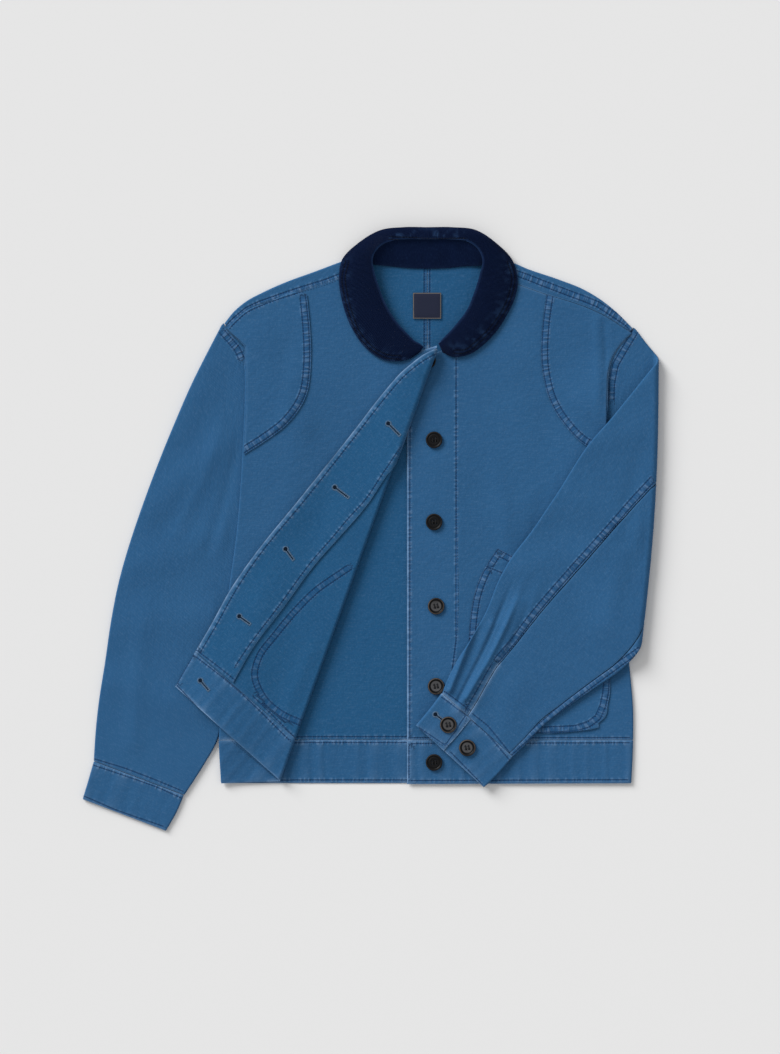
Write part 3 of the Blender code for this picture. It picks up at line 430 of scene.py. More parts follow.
def spline(points, share):
    """The point of a smooth line through points, at each share of its length."""
    points = np.asarray(points, float)
    run = np.r_[0.0, np.cumsum(np.linalg.norm(np.diff(points, axis=0), axis=1))]
    slope = np.gradient(points, run, axis=0)
    at = np.clip(np.asarray(share, float), 0.0, 1.0) * run[-1]
    k = np.clip(np.searchsorted(run, at, side="right") - 1, 0, len(run) - 2)
    h = (run[k + 1] - run[k])[..., None]
    return hermite(points, slope, k, h, (at - run[k])[..., None] / h)


def length_of(points):
    return float(np.linalg.norm(np.diff(np.asarray(points, float), axis=0), axis=1).sum())


def table(rows, at, column=1):
    """A column of a table whose first column rises or falls, read smoothly at the given values."""
    rows = np.asarray(sorted(rows), float)
    fine = np.linspace(rows[0, 0], rows[-1, 0], 400)
    slope = np.gradient(rows[:, column], rows[:, 0])
    k = np.clip(np.searchsorted(rows[:, 0], fine, side="right") - 1, 0, len(rows) - 2)
    h = rows[k + 1, 0] - rows[k, 0]
    return np.interp(at, fine, hermite(rows[:, column], slope, k, h, (fine - rows[k, 0]) / h))


def flip(rows):
    """Rows of a table given as y, x turned to points x, y, going up."""
    return [(x, y) for y, x, *_ in sorted(rows)]


def steps(length, spacing=SPACING, near=True, far=True):
    """Shares from 0 to 1 along a length in mm, closer together beside an edge."""
    rim = np.array(RIM_STEPS)
    count = max(int(round(length / spacing)), 3)
    start, end = (rim[-1] if near else 0.0), length - (rim[-1] if far else 0.0)
    first, last = (rim[:-1] if near else []), (length - rim[:-1][::-1] if far else [])
    return np.r_[first, np.linspace(start, end, count), last] / length


# %% Soft folds and rises
def ridges(x, y, folds):
    """Height of soft folds, each a ridge along a short line."""
    total = np.zeros(np.broadcast(x, y).shape)
    for x0, y0, x1, y1, half, height in folds:
        dx, dy = x1 - x0, y1 - y0
        t = np.clip(((x - x0) * dx + (y - y0) * dy) / (dx * dx + dy * dy), 0.0, 1.0)
        away = (x - x0 - t * dx) ** 2 + (y - y0 - t * dy) ** 2
        total = total + height * np.exp(-away / half**2)
    return total


def over_sleeves(x, y):
    """How far the body is raised by the sleeves that pass beneath it."""
    right = smooth((table(UNDER_RIGHT, y) + 65 - x) / 60) * smooth((575 - y) / 54)
    left = smooth((x - table(UNDER_LEFT, y) + 65) / 60) * smooth((525 - y) / 54)
    return OVER_SLEEVE * (right + left)


def over_front(x, y):
    """Extra rise of the right front where it laps the left front and the top button."""
    lap = 1.9 * smooth((x + 75) / 45) * smooth((y - 330) / 70)
    button = 3.9 * np.exp(-(((x - 1) / 24) ** 2 + ((y - 508) / 24) ** 2) ** 2)
    return lap + button


def top_share(points):
    """0 for the layer on the table, 1 for the layer above it."""
    return np.clip((points[..., 2] - WALL) / (FRONT_Z - BACK_Z), 0.0, 1.0)


def body_lift(points):
    x, y = points[..., 0], points[..., 1]
    points = points.copy()
    points[..., 2] += over_sleeves(x, y) + top_share(points) * ridges(x, y, BODY_FOLDS)
    return points


# %% Turning a part of the jacket over
def fold_frame(foot, top):
    foot, top = np.array(foot), np.array(top)
    line = (top - foot) / np.linalg.norm(top - foot)
    return foot, line, np.array([line[1], -line[0]])


def flap_drop(x, y, past):
    """How far the flap settles once it is clear of the fold, the pocket and the body's side."""
    rows = np.asarray(sorted(POCKET_RIGHT), float)
    foot, line, square = fold_frame(FLAP_FOOT, FLAP_TOP)
    turned = math.pi * (FLAP_AXIS - FRONT_Z)
    rel = np.stack([x - foot[0], y - foot[1]], -1)
    flat = foot + (rel @ line)[..., None] * line + (turned - rel @ square)[..., None] * square
    inner = np.maximum(np.interp(flat[..., 1], rows[:, 0], rows[:, 1]), -74)
    clear_x = smooth((flat[..., 0] - inner - 16) / 55)
    clear_y = smooth((flat[..., 1] - 280) / 80)
    clear = 1 - (1 - clear_x) * (1 - clear_y)
    side = table(SIDE_RIGHT, y)
    return 3.2 * smooth(past / 70) * clear + 3.4 * smooth((side - 2 - x) / 50)


def turn_over(points, foot, top, axis, middle, bow=0.0):
    """Turns what lies past a fold line over onto the rest. Gives each point's plan and height, its distance
    from the line after the turn and before it, and how far it lay past the end of the bend."""
    start, line, square = fold_frame(foot, top)
    rel = points[:, :2] - start
    along, past, z = rel @ line, rel @ square, points[:, 2]
    turn = axis - middle
    angle, radius = np.clip(past / turn, 0.0, math.pi), axis - z
    beyond = past - math.pi * turn
    across = np.where(past < 0, past, radius * np.sin(angle) - np.maximum(beyond, 0.0))
    bowed = bow * np.sin(math.pi * np.clip(along / math.dist(foot, top), 0, 1))
    across = across + bowed * np.where(past < 0, smooth(1 + past / 60), 1.0)
    height = np.where(past < 0, z, axis - radius * np.cos(angle))
    return start + along[:, None] * line + across[:, None] * square, height, across, past, beyond


def fold_flap(points):
    """The open front, turned over onto the rest."""
    plan, height, across, past, beyond = turn_over(points, FLAP_FOOT, FLAP_TOP, FLAP_AXIS, FRONT_Z)
    x, y = plan[:, 0], plan[:, 1]
    held = smooth((points[:, 2] - BACK_Z) / 1.5 + (past > 0))
    rise = over_sleeves(x, y) + over_front(x, y) + ridges(x, y, BODY_FOLDS) * held
    fall = np.where(beyond > 0, flap_drop(x, y, -across), 0.0)
    return np.column_stack([plan, height + rise - fall])


def fold_arm(points):
    """The left sleeve, turned over onto the body."""
    middle = (BACK_Z + FRONT_Z) / 2
    plan, height, _, _, beyond = turn_over(points, ARM_FOOT, ARM_TOP, ARM_AXIS, middle, ARM_BOW)
    x, y = plan[:, 0], plan[:, 1]
    settle = OVER_SLEEVE - over_sleeves(x, y)
    shown = np.clip((height - (2 * ARM_AXIS - FRONT_Z)) / 2.2, 0, 1)
    lift = ridges(x, y, BODY_FOLDS) + shown * (ridges(x, y, ARM_FOLDS) + ridges(x, y, PLEATS))
    return np.column_stack([plan, height + smooth(beyond / 12) * (lift - settle)])


def fold_cuts(foot, top, axis, middle, count):
    """Upright planes beside a fold line that give its bend enough edges."""
    start, _, square = fold_frame(foot, top)
    turned = math.pi * (axis - middle)
    return [((*(start + square * turned * k / count), 0.0), (*square, 0.0)) for k in range(count + 1)]


FLAP_CUTS = fold_cuts(FLAP_FOOT, FLAP_TOP, FLAP_AXIS, FRONT_Z, 12)
ARM_CUTS = fold_cuts(ARM_FOOT, ARM_TOP, ARM_AXIS, (BACK_Z + FRONT_Z) / 2, 12)

# %% [markdown]
# ## A shell from a sheet of points
# A cloth piece is a grid of points in the middle of its wall, each with the direction that the wall faces.
# The two faces stand half a wall to each side, and draw together at the rim as a turned edge does. Before it
# is folded, the mesh is cut along the fold, so that the bend is round whichever way the weave runs.

# %% Grid to shell
CLOTH = {}  # name: what the later cells need of each piece
RIM_SHARE, RIM_REACH = 0.35, 1.7  # of the wall left at the rim, and from where it thins, in mm


def run_along(middle):
    """How far each point of a grid lies along its row of points, in mm."""
    return np.cumsum(np.c_[np.zeros(len(middle)), np.linalg.norm(np.diff(middle, axis=1), axis=2)], axis=1)


def rim_distance(middle, sides):
    """Distance of each grid point from the open sides (low row, high row, low column, high column), in mm."""
    rows, cols = run_along(middle.transpose(1, 0, 2)).T, run_along(middle)
    found = np.full(middle.shape[:2], 99.0)
    for on, away in zip(sides, (rows, rows[-1:] - rows, cols, cols[:, -1:] - cols)):
        if on:
            found = np.minimum(found, away)
    return found


def grid_area(middle):
    a, b, c, d = middle[:-1, :-1], middle[:-1, 1:], middle[1:, 1:], middle[1:, :-1]
    return 0.5 * (np.linalg.norm(np.cross(b - a, c - a), axis=2).sum()
                  + np.linalg.norm(np.cross(c - a, d - a), axis=2).sum())


def grid_faces(rows, columns, closed):
    """Quads of the outer grid, of the inner grid and of the rims between them."""
    outer = np.arange(rows * columns).reshape(rows, columns)
    if closed:
        outer = np.c_[outer, outer[:, :1]]
    inner = outer + rows * columns

    def quads(a, b):
        return np.stack([a[..., :-1], a[..., 1:], b[..., 1:], b[..., :-1]], -1).reshape(-1, 4)
    faces = [quads(outer[:-1], outer[1:]), quads(inner[:-1], inner[1:])[:, ::-1],
             quads(outer[0], inner[0]), quads(outer[-1], inner[-1])[:, ::-1]]
    if not closed:
        faces += [quads(outer[:, 0], inner[:, 0])[:, ::-1], quads(outer[:, -1], inner[:, -1])]
    return np.concatenate(faces)


def signed_volume(points, faces):
    a, b, c, d = (points[faces[:, k]] for k in range(4))
    return (np.einsum("ij,ij->i", a, np.cross(b, c)) + np.einsum("ij,ij->i", a, np.cross(c, d))).sum()


def shell(name, node, middle, direction, cut, held, rests_on, lift=None, move=None, cuts=None, closed=False,
          sides=(1, 1, 1, 1), material=None, slot="blue_canvas"):
    """A cloth piece from the middle of its wall. cut holds each point's place on the flat cloth, in mm."""
    rows, columns = middle.shape[:2]
    rim = rim_distance(middle, (sides[0], sides[1], 0, 0) if closed else sides)
    half = WALL / 2 * (RIM_SHARE + (1 - RIM_SHARE) * np.sqrt(smooth(rim / RIM_REACH)))[..., None]
    outer, inner = middle + direction * half, middle - direction * half
    if lift:
        outer, inner = lift(outer), lift(inner)
    points = np.concatenate([outer.reshape(-1, 3), inner.reshape(-1, 3)])
    faces = grid_faces(rows, columns, closed)
    if signed_volume(points, faces) < 0:
        faces = faces[:, ::-1]
    mesh = bpy.data.meshes.new(name)
    mesh.from_pydata(points.tolist(), [], faces.tolist())
    uv = mesh.uv_layers.new(name="cut")
    flat = np.concatenate([cut.reshape(-1, 2)] * 2) * MM
    loops = np.empty(len(mesh.loops), np.int32)
    mesh.loops.foreach_get("vertex_index", loops)
    uv.data.foreach_set("uv", flat[loops].astype(np.float32).ravel())
    store(mesh, "edge", np.tile(rim.ravel(), 2))
    store(mesh, "reverse", np.repeat([0.0, 1.0], rows * columns))
    if cuts:
        work = bmesh.new()
        work.from_mesh(mesh)
        for point, normal in cuts:
            bmesh.ops.bisect_plane(work, geom=work.verts[:] + work.edges[:] + work.faces[:], dist=1e-5,
                                   plane_co=point, plane_no=normal)
        work.to_mesh(mesh)
        work.free()
    placed = read_points(mesh)
    write_points(mesh, to_frame(move(placed) if move else placed))
    for polygon in mesh.polygons:
        polygon.use_smooth = True
    mesh.materials.append(material or CANVAS)
    CLOTH[name] = {"piece": show(name, mesh), "node": node, "size": np.ptp(cut.reshape(-1, 2), axis=0),
                   "area": grid_area(middle), "held": held, "rests_on": rests_on, "slot": slot}


def body_shell(*facts, **folding):
    """A shell on the jacket's body. One that is turned over is lifted by the turn itself."""
    shell(*facts, lift=None if "move" in folding else body_lift, **folding)


def store(mesh, name, values):
    """Keeps a number for each point of a mesh, for its material to read."""
    kept = mesh.attributes.get(name) or mesh.attributes.new(name, "FLOAT", "POINT")
    kept.data.foreach_set("value", values.astype(np.float32))


def recall(mesh, name):
    values = np.empty(len(mesh.vertices), np.float32)
    mesh.attributes[name].data.foreach_get("value", values)
    return values


def to_frame(points):
    """Points of the plan, in mm, as points of the frame, in metres."""
    return (points - (*MIDDLE, 0.0)) * MM


def read_points(mesh):
    points = np.empty(len(mesh.vertices) * 3, np.float32)
    mesh.vertices.foreach_get("co", points)
    return points.reshape(-1, 3).astype(float)


def round_cut(middle, lengths):
    """A grid's place on the flat cloth: the run along each row of points, and the row's given length."""
    return np.dstack([run_along(middle), np.repeat(lengths[:, None], middle.shape[1], 1)])


def write_points(mesh, points):
    mesh.vertices.foreach_set("co", points.astype(np.float32).ravel())
    mesh.update()


# %% [markdown]
# ## Body panels
# Each front runs from its closing edge to the side fold, turns round it and comes back a little way beneath,
# as the real side seam sits behind the fold. The back is cut in two with a centre seam, and comes over the
# shoulder to a seam in front.

# %% Fronts, back, patches, pockets and waistband
def coons(bottom, top, left, right, u, v):
    """A grid of points that fills four edges, rows from bottom to top."""
    u, v = np.asarray(u)[None, :, None], np.asarray(v)[:, None, None]
    corners = ((1 - u) * (1 - v) * bottom[0] + u * (1 - v) * bottom[-1]
               + (1 - u) * v * top[0] + u * v * top[-1])
    return (1 - v) * bottom[None] + v * top[None] + (1 - u) * left[:, None] + u * right[:, None] - corners


def outward(edge, away_from):
    """Plan direction square to an edge, pointing away from a point."""
    run = np.gradient(edge, axis=0)
    side = np.stack([run[:, 1], -run[:, 0]], -1)
    side /= np.linalg.norm(side, axis=1)[:, None]
    return side * np.sign(np.sum(side * (edge - np.asarray(away_from)), axis=1))[:, None]


def flat_layer(plan, height):
    middle = np.dstack([plan, np.full(plan.shape[:2], height)])
    return middle, np.broadcast_to((0.0, 0.0, 1.0), middle.shape).copy()


ARC_STEPS = 9
WRAP_RUNS = np.r_[np.linspace(0, math.pi * BEND, ARC_STEPS)[1:],
                  math.pi * BEND + RETURN * np.array((0.4, 0.8, 1.0))]


def bend_path(run):
    """Out and height of a side fold after a run from its start, and the wall's direction there."""
    angle = np.minimum(run / BEND, math.pi)
    back = np.maximum(run - math.pi * BEND, 0.0)
    return BEND * np.sin(angle) - back, BEND * np.cos(angle), np.sin(angle), np.cos(angle)


def side_line(side, armhole, shares):
    """Plan points up the side fold from the hem seam and on up the armhole."""
    line = [(float(table(side, HEM_SEAM)), HEM_SEAM)] + [p for p in flip(side) if p[1] > HEM_SEAM + 1]
    return spline(line + [p for p in armhole if p[1] > line[-1][1] + 1], shares)


def wrap_side(middle, direction, inset, square, reach):
    """Adds the turn round the side fold to a panel's grid."""
    out, high, facing_out, facing_up = bend_path(reach[:, None] * WRAP_RUNS[None])
    turned = np.dstack([inset[:, None] + square[:, None] * out[..., None], (FRONT_Z - BEND) + high])
    turned_dir = np.dstack([square[:, None] * facing_out[..., None], facing_up])
    return np.concatenate([middle, turned], axis=1), np.concatenate([direction, turned_dir], axis=1)


def wrapped_cut(plan, reach):
    """Place of each grid point on the flat cloth: the plan, with the turn round a side let out straight."""
    runs = reach[:, None] * WRAP_RUNS[None]
    step = np.sign(plan[:, -1, 0] - plan[:, 0, 0])[:, None]
    more = np.stack([plan[:, -1:, 0] + step * runs, np.repeat(plan[:, -1:, 1], runs.shape[1], 1)], -1)
    return np.concatenate([plan, more], axis=1)


def front(name, node, edge, neck, shoulder, side, armhole, neck_share, held, rests_on, **folding):
    """A front from its closing edge to the side fold, round which it turns to the side seam."""
    rows = steps(length_of([(0, HEM_SEAM), (0, armhole[-1][1])]))
    outer_edge = side_line(side, armhole, rows)
    share = (outer_edge[:, 1] - HEM_SEAM) / (outer_edge[-1, 1] - HEM_SEAM)
    square = outward(outer_edge, (0, 300))
    square[0] = (np.sign(square[0, 0]), 0.0)
    reach = smooth((side[-1][0] - 16 - outer_edge[:, 1]) / 12)
    inset = outer_edge - square * (reach * EDGE + (1 - reach) * SEAM)[:, None]
    closing = spline(edge, share)
    u = steps(abs(inset[0, 0] - closing[0, 0]), far=False)
    on_neck = u < neck_share
    top = np.where(on_neck[:, None], spline(neck, u / neck_share),
                   spline(shoulder, (u - neck_share) / (1 - neck_share)))
    inset[-1] = top[-1]
    bottom = closing[0] + (inset[0] - closing[0]) * (1 - (1 - u) ** 1.2)[:, None]
    plan = coons(bottom, top, closing, inset, u, rows)
    middle, direction = flat_layer(plan, FRONT_Z)
    reach = np.maximum(reach, 0.03)
    middle, direction = wrap_side(middle, direction, inset, square, reach)
    body_shell(name, node, middle, direction, wrapped_cut(plan, reach), held, rests_on, **folding)


def back(name, node, centre, neck, outline, seam, side, armhole, rests_on):
    """Half the back, from the centre seam to the side seam, and over the shoulder to the seam in front."""
    rows = steps(length_of([(0, HEM_SEAM), (0, armhole[-1][1])]), SPACING * 1.3)
    outer_edge = side_line(side, armhole, rows)
    share = (outer_edge[:, 1] - HEM_SEAM) / (outer_edge[-1, 1] - HEM_SEAM)
    square = outward(outer_edge, (0, 300))
    tucked = smooth((side[-1][0] + 10 - outer_edge[:, 1]) / 12)
    inset = outer_edge - square * (SEAM + tucked * (EDGE + RETURN))[:, None]
    inset[0, 1] = HEM_SEAM
    centre_line = spline(((centre, HEM_SEAM), (centre, neck[0][1])), share)
    u = steps(abs(inset[0, 0] - centre), SPACING * 1.3)
    neck_share = 3 / 11
    on_neck = u < neck_share
    shoulder_share = np.clip((u - neck_share) / (1 - neck_share), 0, 1)
    contour = np.where(on_neck[:, None], spline(neck, u / neck_share), spline(outline, shoulder_share))
    seam_line = spline(seam, shoulder_share)
    wraps = smooth((u - neck_share) / 0.02)
    square_top = outward(contour, (contour[:, 0].mean(), 300))
    square_top[on_neck] = (0.0, 1.0)
    top = contour - square_top * (EDGE * wraps)[:, None]
    inset[-1] = top[-1]
    bottom = centre_line[0] + (inset[0] - centre_line[0]) * u[:, None]
    plan = coons(bottom, top, centre_line, inset, u, rows)
    middle, direction = flat_layer(plan, BACK_Z)
    extra, extra_dir = [], []
    for angle in np.linspace(0, math.pi, ARC_STEPS)[1:]:
        step = BEND * wraps[:, None]
        rise = np.column_stack([top, np.full(len(u), BACK_Z)])
        rise += np.column_stack([square_top * step * math.sin(angle), step * (1 - math.cos(angle))])
        rise[:, :2] += square_top * ((1 - wraps[:, None]) * angle / math.pi * 1.5)
        extra.append(rise)
        extra_dir.append(np.column_stack([-square_top * math.sin(angle) * wraps[:, None],
                                          wraps * math.cos(angle) + (1 - wraps)]))
    to_seam = seam_line - extra[-1][:, :2]
    reach = np.linalg.norm(to_seam, axis=1)[:, None]
    to_seam *= wraps[:, None] * np.maximum(reach - SEAM, 0.0) / np.maximum(reach, 1e-6)
    to_seam += (1 - wraps[:, None]) * square_top * 0.5
    last, last_dir = extra[-1], extra_dir[-1]
    for part in np.linspace(0, 1, 15)[1:]:
        row = last.copy()
        row[:, :2] += to_seam * part
        extra.append(row)
        extra_dir.append(last_dir)
    middle = np.concatenate([middle, np.array(extra)])
    direction = np.concatenate([direction, np.array(extra_dir)])
    cut_rows = np.cumsum(np.linalg.norm(np.diff(middle[len(rows) - 1:], axis=0), axis=2), axis=0)
    beyond = plan[-1][None] + square_top[None] * cut_rows[..., None]
    cut = np.concatenate([plan, beyond])
    body_shell(name, node, middle, direction, cut, "laid", rests_on)


def laid_on(name, node, rows, height, held, rests_on, **folding):
    """A piece on a panel, given by the two edges of each height."""
    rows = sorted(rows)
    low, high = rows[0][0], rows[-1][0]
    heights = low + (high - low) * steps(high - low)
    near, far = table(rows, heights, 1), table(rows, heights, 2)
    u = steps(np.abs(far - near).max())
    plan = np.dstack([near[:, None] * (1 - u) + far[:, None] * u, np.repeat(heights[:, None], len(u), 1)])
    body_shell(name, node, *flat_layer(plan, height), plan, held, rests_on, **folding)


def patch(name, node, edge, seam, side, armhole, held, rests_on, **folding):
    """Shoulder patch on a front: from its curved edge to the armhole and the start of the side fold."""
    v = steps(length_of([(x, y) for y, x in edge]))
    inner_edge = spline([(x, y) for y, x in edge], v)
    low = edge[-1][0]
    outline = [(x, y) for y, x in reversed(side) if y > low + 1]
    outer_line = list(reversed(armhole)) + [p for p in outline if p[1] < armhole[0][1] - 1]
    outer_edge = spline(outer_line + [(float(table(side, low)), low)], v)
    outer_edge[:, 0] -= np.sign(outer_edge[:, 0]) * (EDGE + 0.2)
    top = [tuple(inner_edge[0])] + [p for p in seam if abs(p[0]) > abs(inner_edge[0][0])]
    u = steps(length_of(top))
    top = spline(top, u) - (0, 0.6)
    bottom = inner_edge[-1] + (outer_edge[-1] - inner_edge[-1]) * u[:, None]
    inner_edge[0], outer_edge[0] = top[0], top[-1]
    plan = coons(top, bottom, inner_edge, outer_edge, u, v)
    body_shell(name, node, *flat_layer(plan, FRONT_Z + STEP), plan, held, rests_on, **folding)


def band(name, node, edge, side, held, rests_on, **folding):
    """Waistband of one front, from the closing edge round the side fold."""
    rows = steps(HEM_SEAM - SEAM)
    closing = spline(edge, rows)
    heights = rows * (HEM_SEAM - SEAM)
    outer_edge = np.column_stack([table(side, heights), heights])
    square = np.tile((np.sign(outer_edge[0, 0]), 0.0), (len(rows), 1))
    inset = outer_edge - square * EDGE
    u = steps(abs(inset[0, 0] - closing[0, 0]), far=False)
    plan = closing[:, None] + (inset - closing)[:, None] * u[None, :, None]
    middle, direction = flat_layer(plan, FRONT_Z)
    reach = np.ones(len(rows))
    middle, direction = wrap_side(middle, direction, inset, square, reach)
    body_shell(name, node, middle, direction, wrapped_cut(plan, reach), held, rests_on, **folding)


over = {"move": fold_flap, "cuts": FLAP_CUTS}
back("cloth_back_right", "back_right", 0.4, ((0.4, 616), (-33, 618), (-62, 622), (-78, 632)), TOP_RIGHT,
     SHOULDER_RIGHT, SIDE_RIGHT, ARMHOLE_RIGHT, ["floor"])
back("cloth_back_left", "back_left", 0.7, ((0.7, 616), (35, 618), (62, 621), (78, 628)), TOP_LEFT,
     SHOULDER_LEFT, SIDE_LEFT, ARMHOLE_LEFT, ["floor"])
front("cloth_front_left", "front_left", ((-24, HEM_SEAM), (-24, 514)), NECK_LEFT, SHOULDER_LEFT, SIDE_LEFT,
      ARMHOLE_LEFT, 1 / 3, "laid", ["back_left"])
front("cloth_front_right", "front_right", flip(FLAP_EDGE), NECK_RIGHT, SHOULDER_RIGHT, SIDE_RIGHT,
      ARMHOLE_RIGHT, 5 / 13, "folded", ["back_right"], **over)
patch("cloth_patch_left", "shoulder_patch_left", PATCH_LEFT, SHOULDER_LEFT, SIDE_LEFT, ARMHOLE_LEFT, "laid",
      ["front_left"])
patch("cloth_patch_right", "shoulder_patch_right", PATCH_RIGHT, SHOULDER_RIGHT, SIDE_RIGHT, ARMHOLE_RIGHT,
      "laid", ["front_right"], move=fold_flap)
laid_on("cloth_pocket_left", "pocket_left", POCKET_LEFT, FRONT_Z + STEP, "laid", ["front_left"])
laid_on("cloth_pocket_right", "pocket_right", POCKET_RIGHT, FRONT_Z + STEP, "folded", ["front_right"], **over)
band("cloth_waistband_left", "waistband_left", ((-24, -1), (-24, HEM_SEAM - SEAM)), SIDE_LEFT, "laid",
     ["waistband_back"])
band("cloth_waistband_right", "waistband_right", ((-4.5, 9), (3.6, 56 - SEAM)), SIDE_RIGHT, "folded",
     ["waistband_back"], **over)
SIDE_TUCK = EDGE + RETURN + 0.6
laid_on("cloth_waistband_back", "waistband_back",
        ((0, -247 + SIDE_TUCK, 245 - SIDE_TUCK), (HEM_SEAM - SEAM, -249.6 + SIDE_TUCK, 247.2 - SIDE_TUCK)),
        BACK_Z, "laid", ["floor"])


def facing_edges(y):
    """The two edges of the facing at a height: its inner edge or the crease, and the closing edge."""
    foot, line, square = fold_frame(FLAP_FOOT, FLAP_TOP)
    past = math.pi * 0.47 * (FLAP_AXIS - FRONT_Z)
    crease = foot[0] + (y - foot[1]) * line[0] / line[1] + past / square[0]
    return max(float(table(FACING_IN, y)), crease), float(table(FLAP_EDGE, y)) - 0.4


laid_on("cloth_facing_right", "facing_right", [(y, *facing_edges(y)) for y in np.linspace(57.2, 519, 30)],
        FRONT_Z - STEP - 0.4, "folded", ["front_right"], **over)
print("body panels", len(CLOTH))

# %% [markdown]
# ## Sleeves and cuffs
# A sleeve on a table is a flattened tube: a layer below, a round turn at each edge and a layer above, cut in
# two pieces that meet at the elbow and the underarm. The lines across it bend into the armhole's line at the
# top.

# %% Flat tubes
TUCK = 2.6  # how far a sleeve reaches under the body at the armhole, in mm


def tube_plan(outer, inner, cap, t, share):
    """Plan points at a share across the tube, one for each station."""
    straight = outer * (1 - share)[:, None] + inner * share[:, None]
    if cap is None:
        return straight
    chord = np.array(cap[0]) * (1 - share)[:, None] + np.array(cap[-1]) * share[:, None]
    return straight + (1 - smooth(t / 0.30))[:, None] * (spline(cap, share) - chord)


def tube(name, node, stations, cap, path, held, rests_on, spacing=SPACING, **folding):
    """A strip of a flat tube. The path holds, for each step round it: the side, and the share across or the
    turn round an edge."""
    centre = [((a + c) / 2, (b + d) / 2) for a, b, c, d in stations]
    t = steps(length_of(centre), spacing)
    edges = spline(stations, t)
    outer, inner = edges[:, :2], edges[:, 2:]
    span = np.linalg.norm(inner - outer, axis=1)
    out_square, in_square = outward(outer, inner.mean(axis=0)), outward(inner, outer.mean(axis=0))
    middle_z = (BACK_Z + FRONT_Z) / 2
    places, directions = [], []
    for side, value in path:
        value = np.broadcast_to(np.asarray(value(t) if callable(value) else value, float), t.shape)
        if side in ("outer", "inner", "lap_edge"):
            square = in_square if side == "inner" else out_square
            share = EDGE / span if side != "inner" else 1 - EDGE / span
            turn = BEND + (STEP / 2 if side == "lap_edge" else 0.0)
            plan = tube_plan(outer, inner, cap, t, share) + square * (turn * np.sin(value))[:, None]
            high = middle_z + BEND - turn + turn * np.cos(value)
            towards = np.column_stack([square * np.sin(value)[:, None], np.cos(value)])
        else:
            up = 1.0 if side == "top" else -1.0
            plan = tube_plan(outer, inner, cap, t, np.clip(value, EDGE / span, 1 - EDGE / span))
            high = np.full(len(t), middle_z + up * BEND - (STEP if side == "lap" else 0.0))
            towards = np.column_stack([np.zeros((len(t), 2)), np.full(len(t), up)])
        places.append(np.column_stack([plan, high]))
        directions.append(towards)
    middle, direction = (np.array(part).transpose(1, 0, 2) for part in (places, directions))
    if cap is not None:
        beyond = middle[0] - middle[1]
        beyond /= np.maximum(np.linalg.norm(beyond, axis=1)[:, None], 1e-6)
        middle[0] += beyond * TUCK - direction[0] * STEP * 0.35
    cut = round_cut(middle, t * length_of(centre))
    shell(name, node, middle, direction, cut, held, rests_on, **folding)


def arc(side, start, end):
    return [(side, a) for a in np.linspace(start, end, ARC_STEPS)[1:-1]]


def across(side, first, last, width, near=False, far=False):
    return [(side, lambda t, k=k: first(t) * (1 - k) + last(t) * k) for k in steps(width, near=near, far=far)]


def const(value):
    return lambda t: 0.0 * t + value


# Elbow seam of the left sleeve, as its row shows on the folded sleeve: along the sleeve, across it
ELBOW_LEFT = ((0.0, 0.62), (0.25, 0.475), (0.3, 0.465), (0.35, 0.455), (0.4, 0.435), (0.45, 0.415),
              (0.5, 0.395), (0.55, 0.375), (0.6, 0.37), (0.7, 0.365), (0.75, 0.345), (0.8, 0.33),
              (0.85, 0.32), (0.9, 0.345), (0.95, 0.355), (1.0, 0.355))


def elbow(table_of):
    return lambda t: np.interp(t, *np.array(table_of).T)


SLEEVE_WIDE, CUFF_WIDE = 150, 110  # of a sleeve and a cuff laid flat, in mm
UNDER_CLEAR = 0.05  # share of the sleeve's width from its inner edge to the underarm seam


def top_sleeve(width, seam):
    """From the elbow seam below, round the outer edge, over the top, round the inner edge to the underarm."""
    return (across("bottom", elbow(seam), const(0.0), width * 0.45, near=True) + arc("outer", math.pi, 0)
            + across("top", const(0.0), const(1.0), width) + arc("inner", 0, math.pi)
            + across("bottom", const(1.0), const(1.0 - UNDER_CLEAR), width * UNDER_CLEAR, far=True))


def under_sleeve(width, seam):
    return across("bottom", lambda t: elbow(seam)(t) + 0.006, const(1.0 - UNDER_CLEAR - 0.006), width * 0.5,
                  near=True, far=True)


def arm_lift(face):
    x, y = face[..., 0], face[..., 1]
    moved = face.copy()
    moved[..., 2] += top_share(face) * ridges(x, y, ARM_FOLDS) * smooth((table(SIDE_RIGHT, y) - 4 - x) / 14)
    return moved


ring = (across("top", const(0.0), const(1.0), CUFF_WIDE) + arc("inner", 0, math.pi)
        + across("bottom", const(1.0), const(0.0), CUFF_WIDE) + arc("outer", math.pi, 0))
lapped = (across("bottom", const(0.2), const(1.0), 90, near=True) + arc("inner", math.pi, 0)
          + across("top", const(1.0), const(0.0), CUFF_WIDE) + arc("lap_edge", 0, math.pi)
          + across("lap", const(0.0), const(0.40), 40, far=True))
turned = {"move": fold_arm, "cuts": ARM_CUTS}
tube("cloth_sleeve_right_top", "sleeve_right_top", SLEEVE_RIGHT, CAP_RIGHT, top_sleeve(SLEEVE_WIDE, ELBOW_AT),
     "laid", ["floor"], lift=arm_lift)
tube("cloth_sleeve_right_under", "sleeve_right_under", SLEEVE_RIGHT, CAP_RIGHT,
     under_sleeve(SLEEVE_WIDE, ELBOW_AT), "laid", ["floor"], spacing=SPACING * 2)
tube("cloth_sleeve_left_top", "sleeve_left_top", SLEEVE_LEFT, CAP_LEFT, top_sleeve(SLEEVE_WIDE, ELBOW_LEFT),
     "folded", ["floor"], **turned)
tube("cloth_sleeve_left_under", "sleeve_left_under", SLEEVE_LEFT, CAP_LEFT,
     under_sleeve(SLEEVE_WIDE, ELBOW_LEFT), "folded", ["front_left"], **turned)
tube("cloth_cuff_right", "cuff_right", CUFF_RIGHT, None, ring, "laid", ["floor"], closed=True)
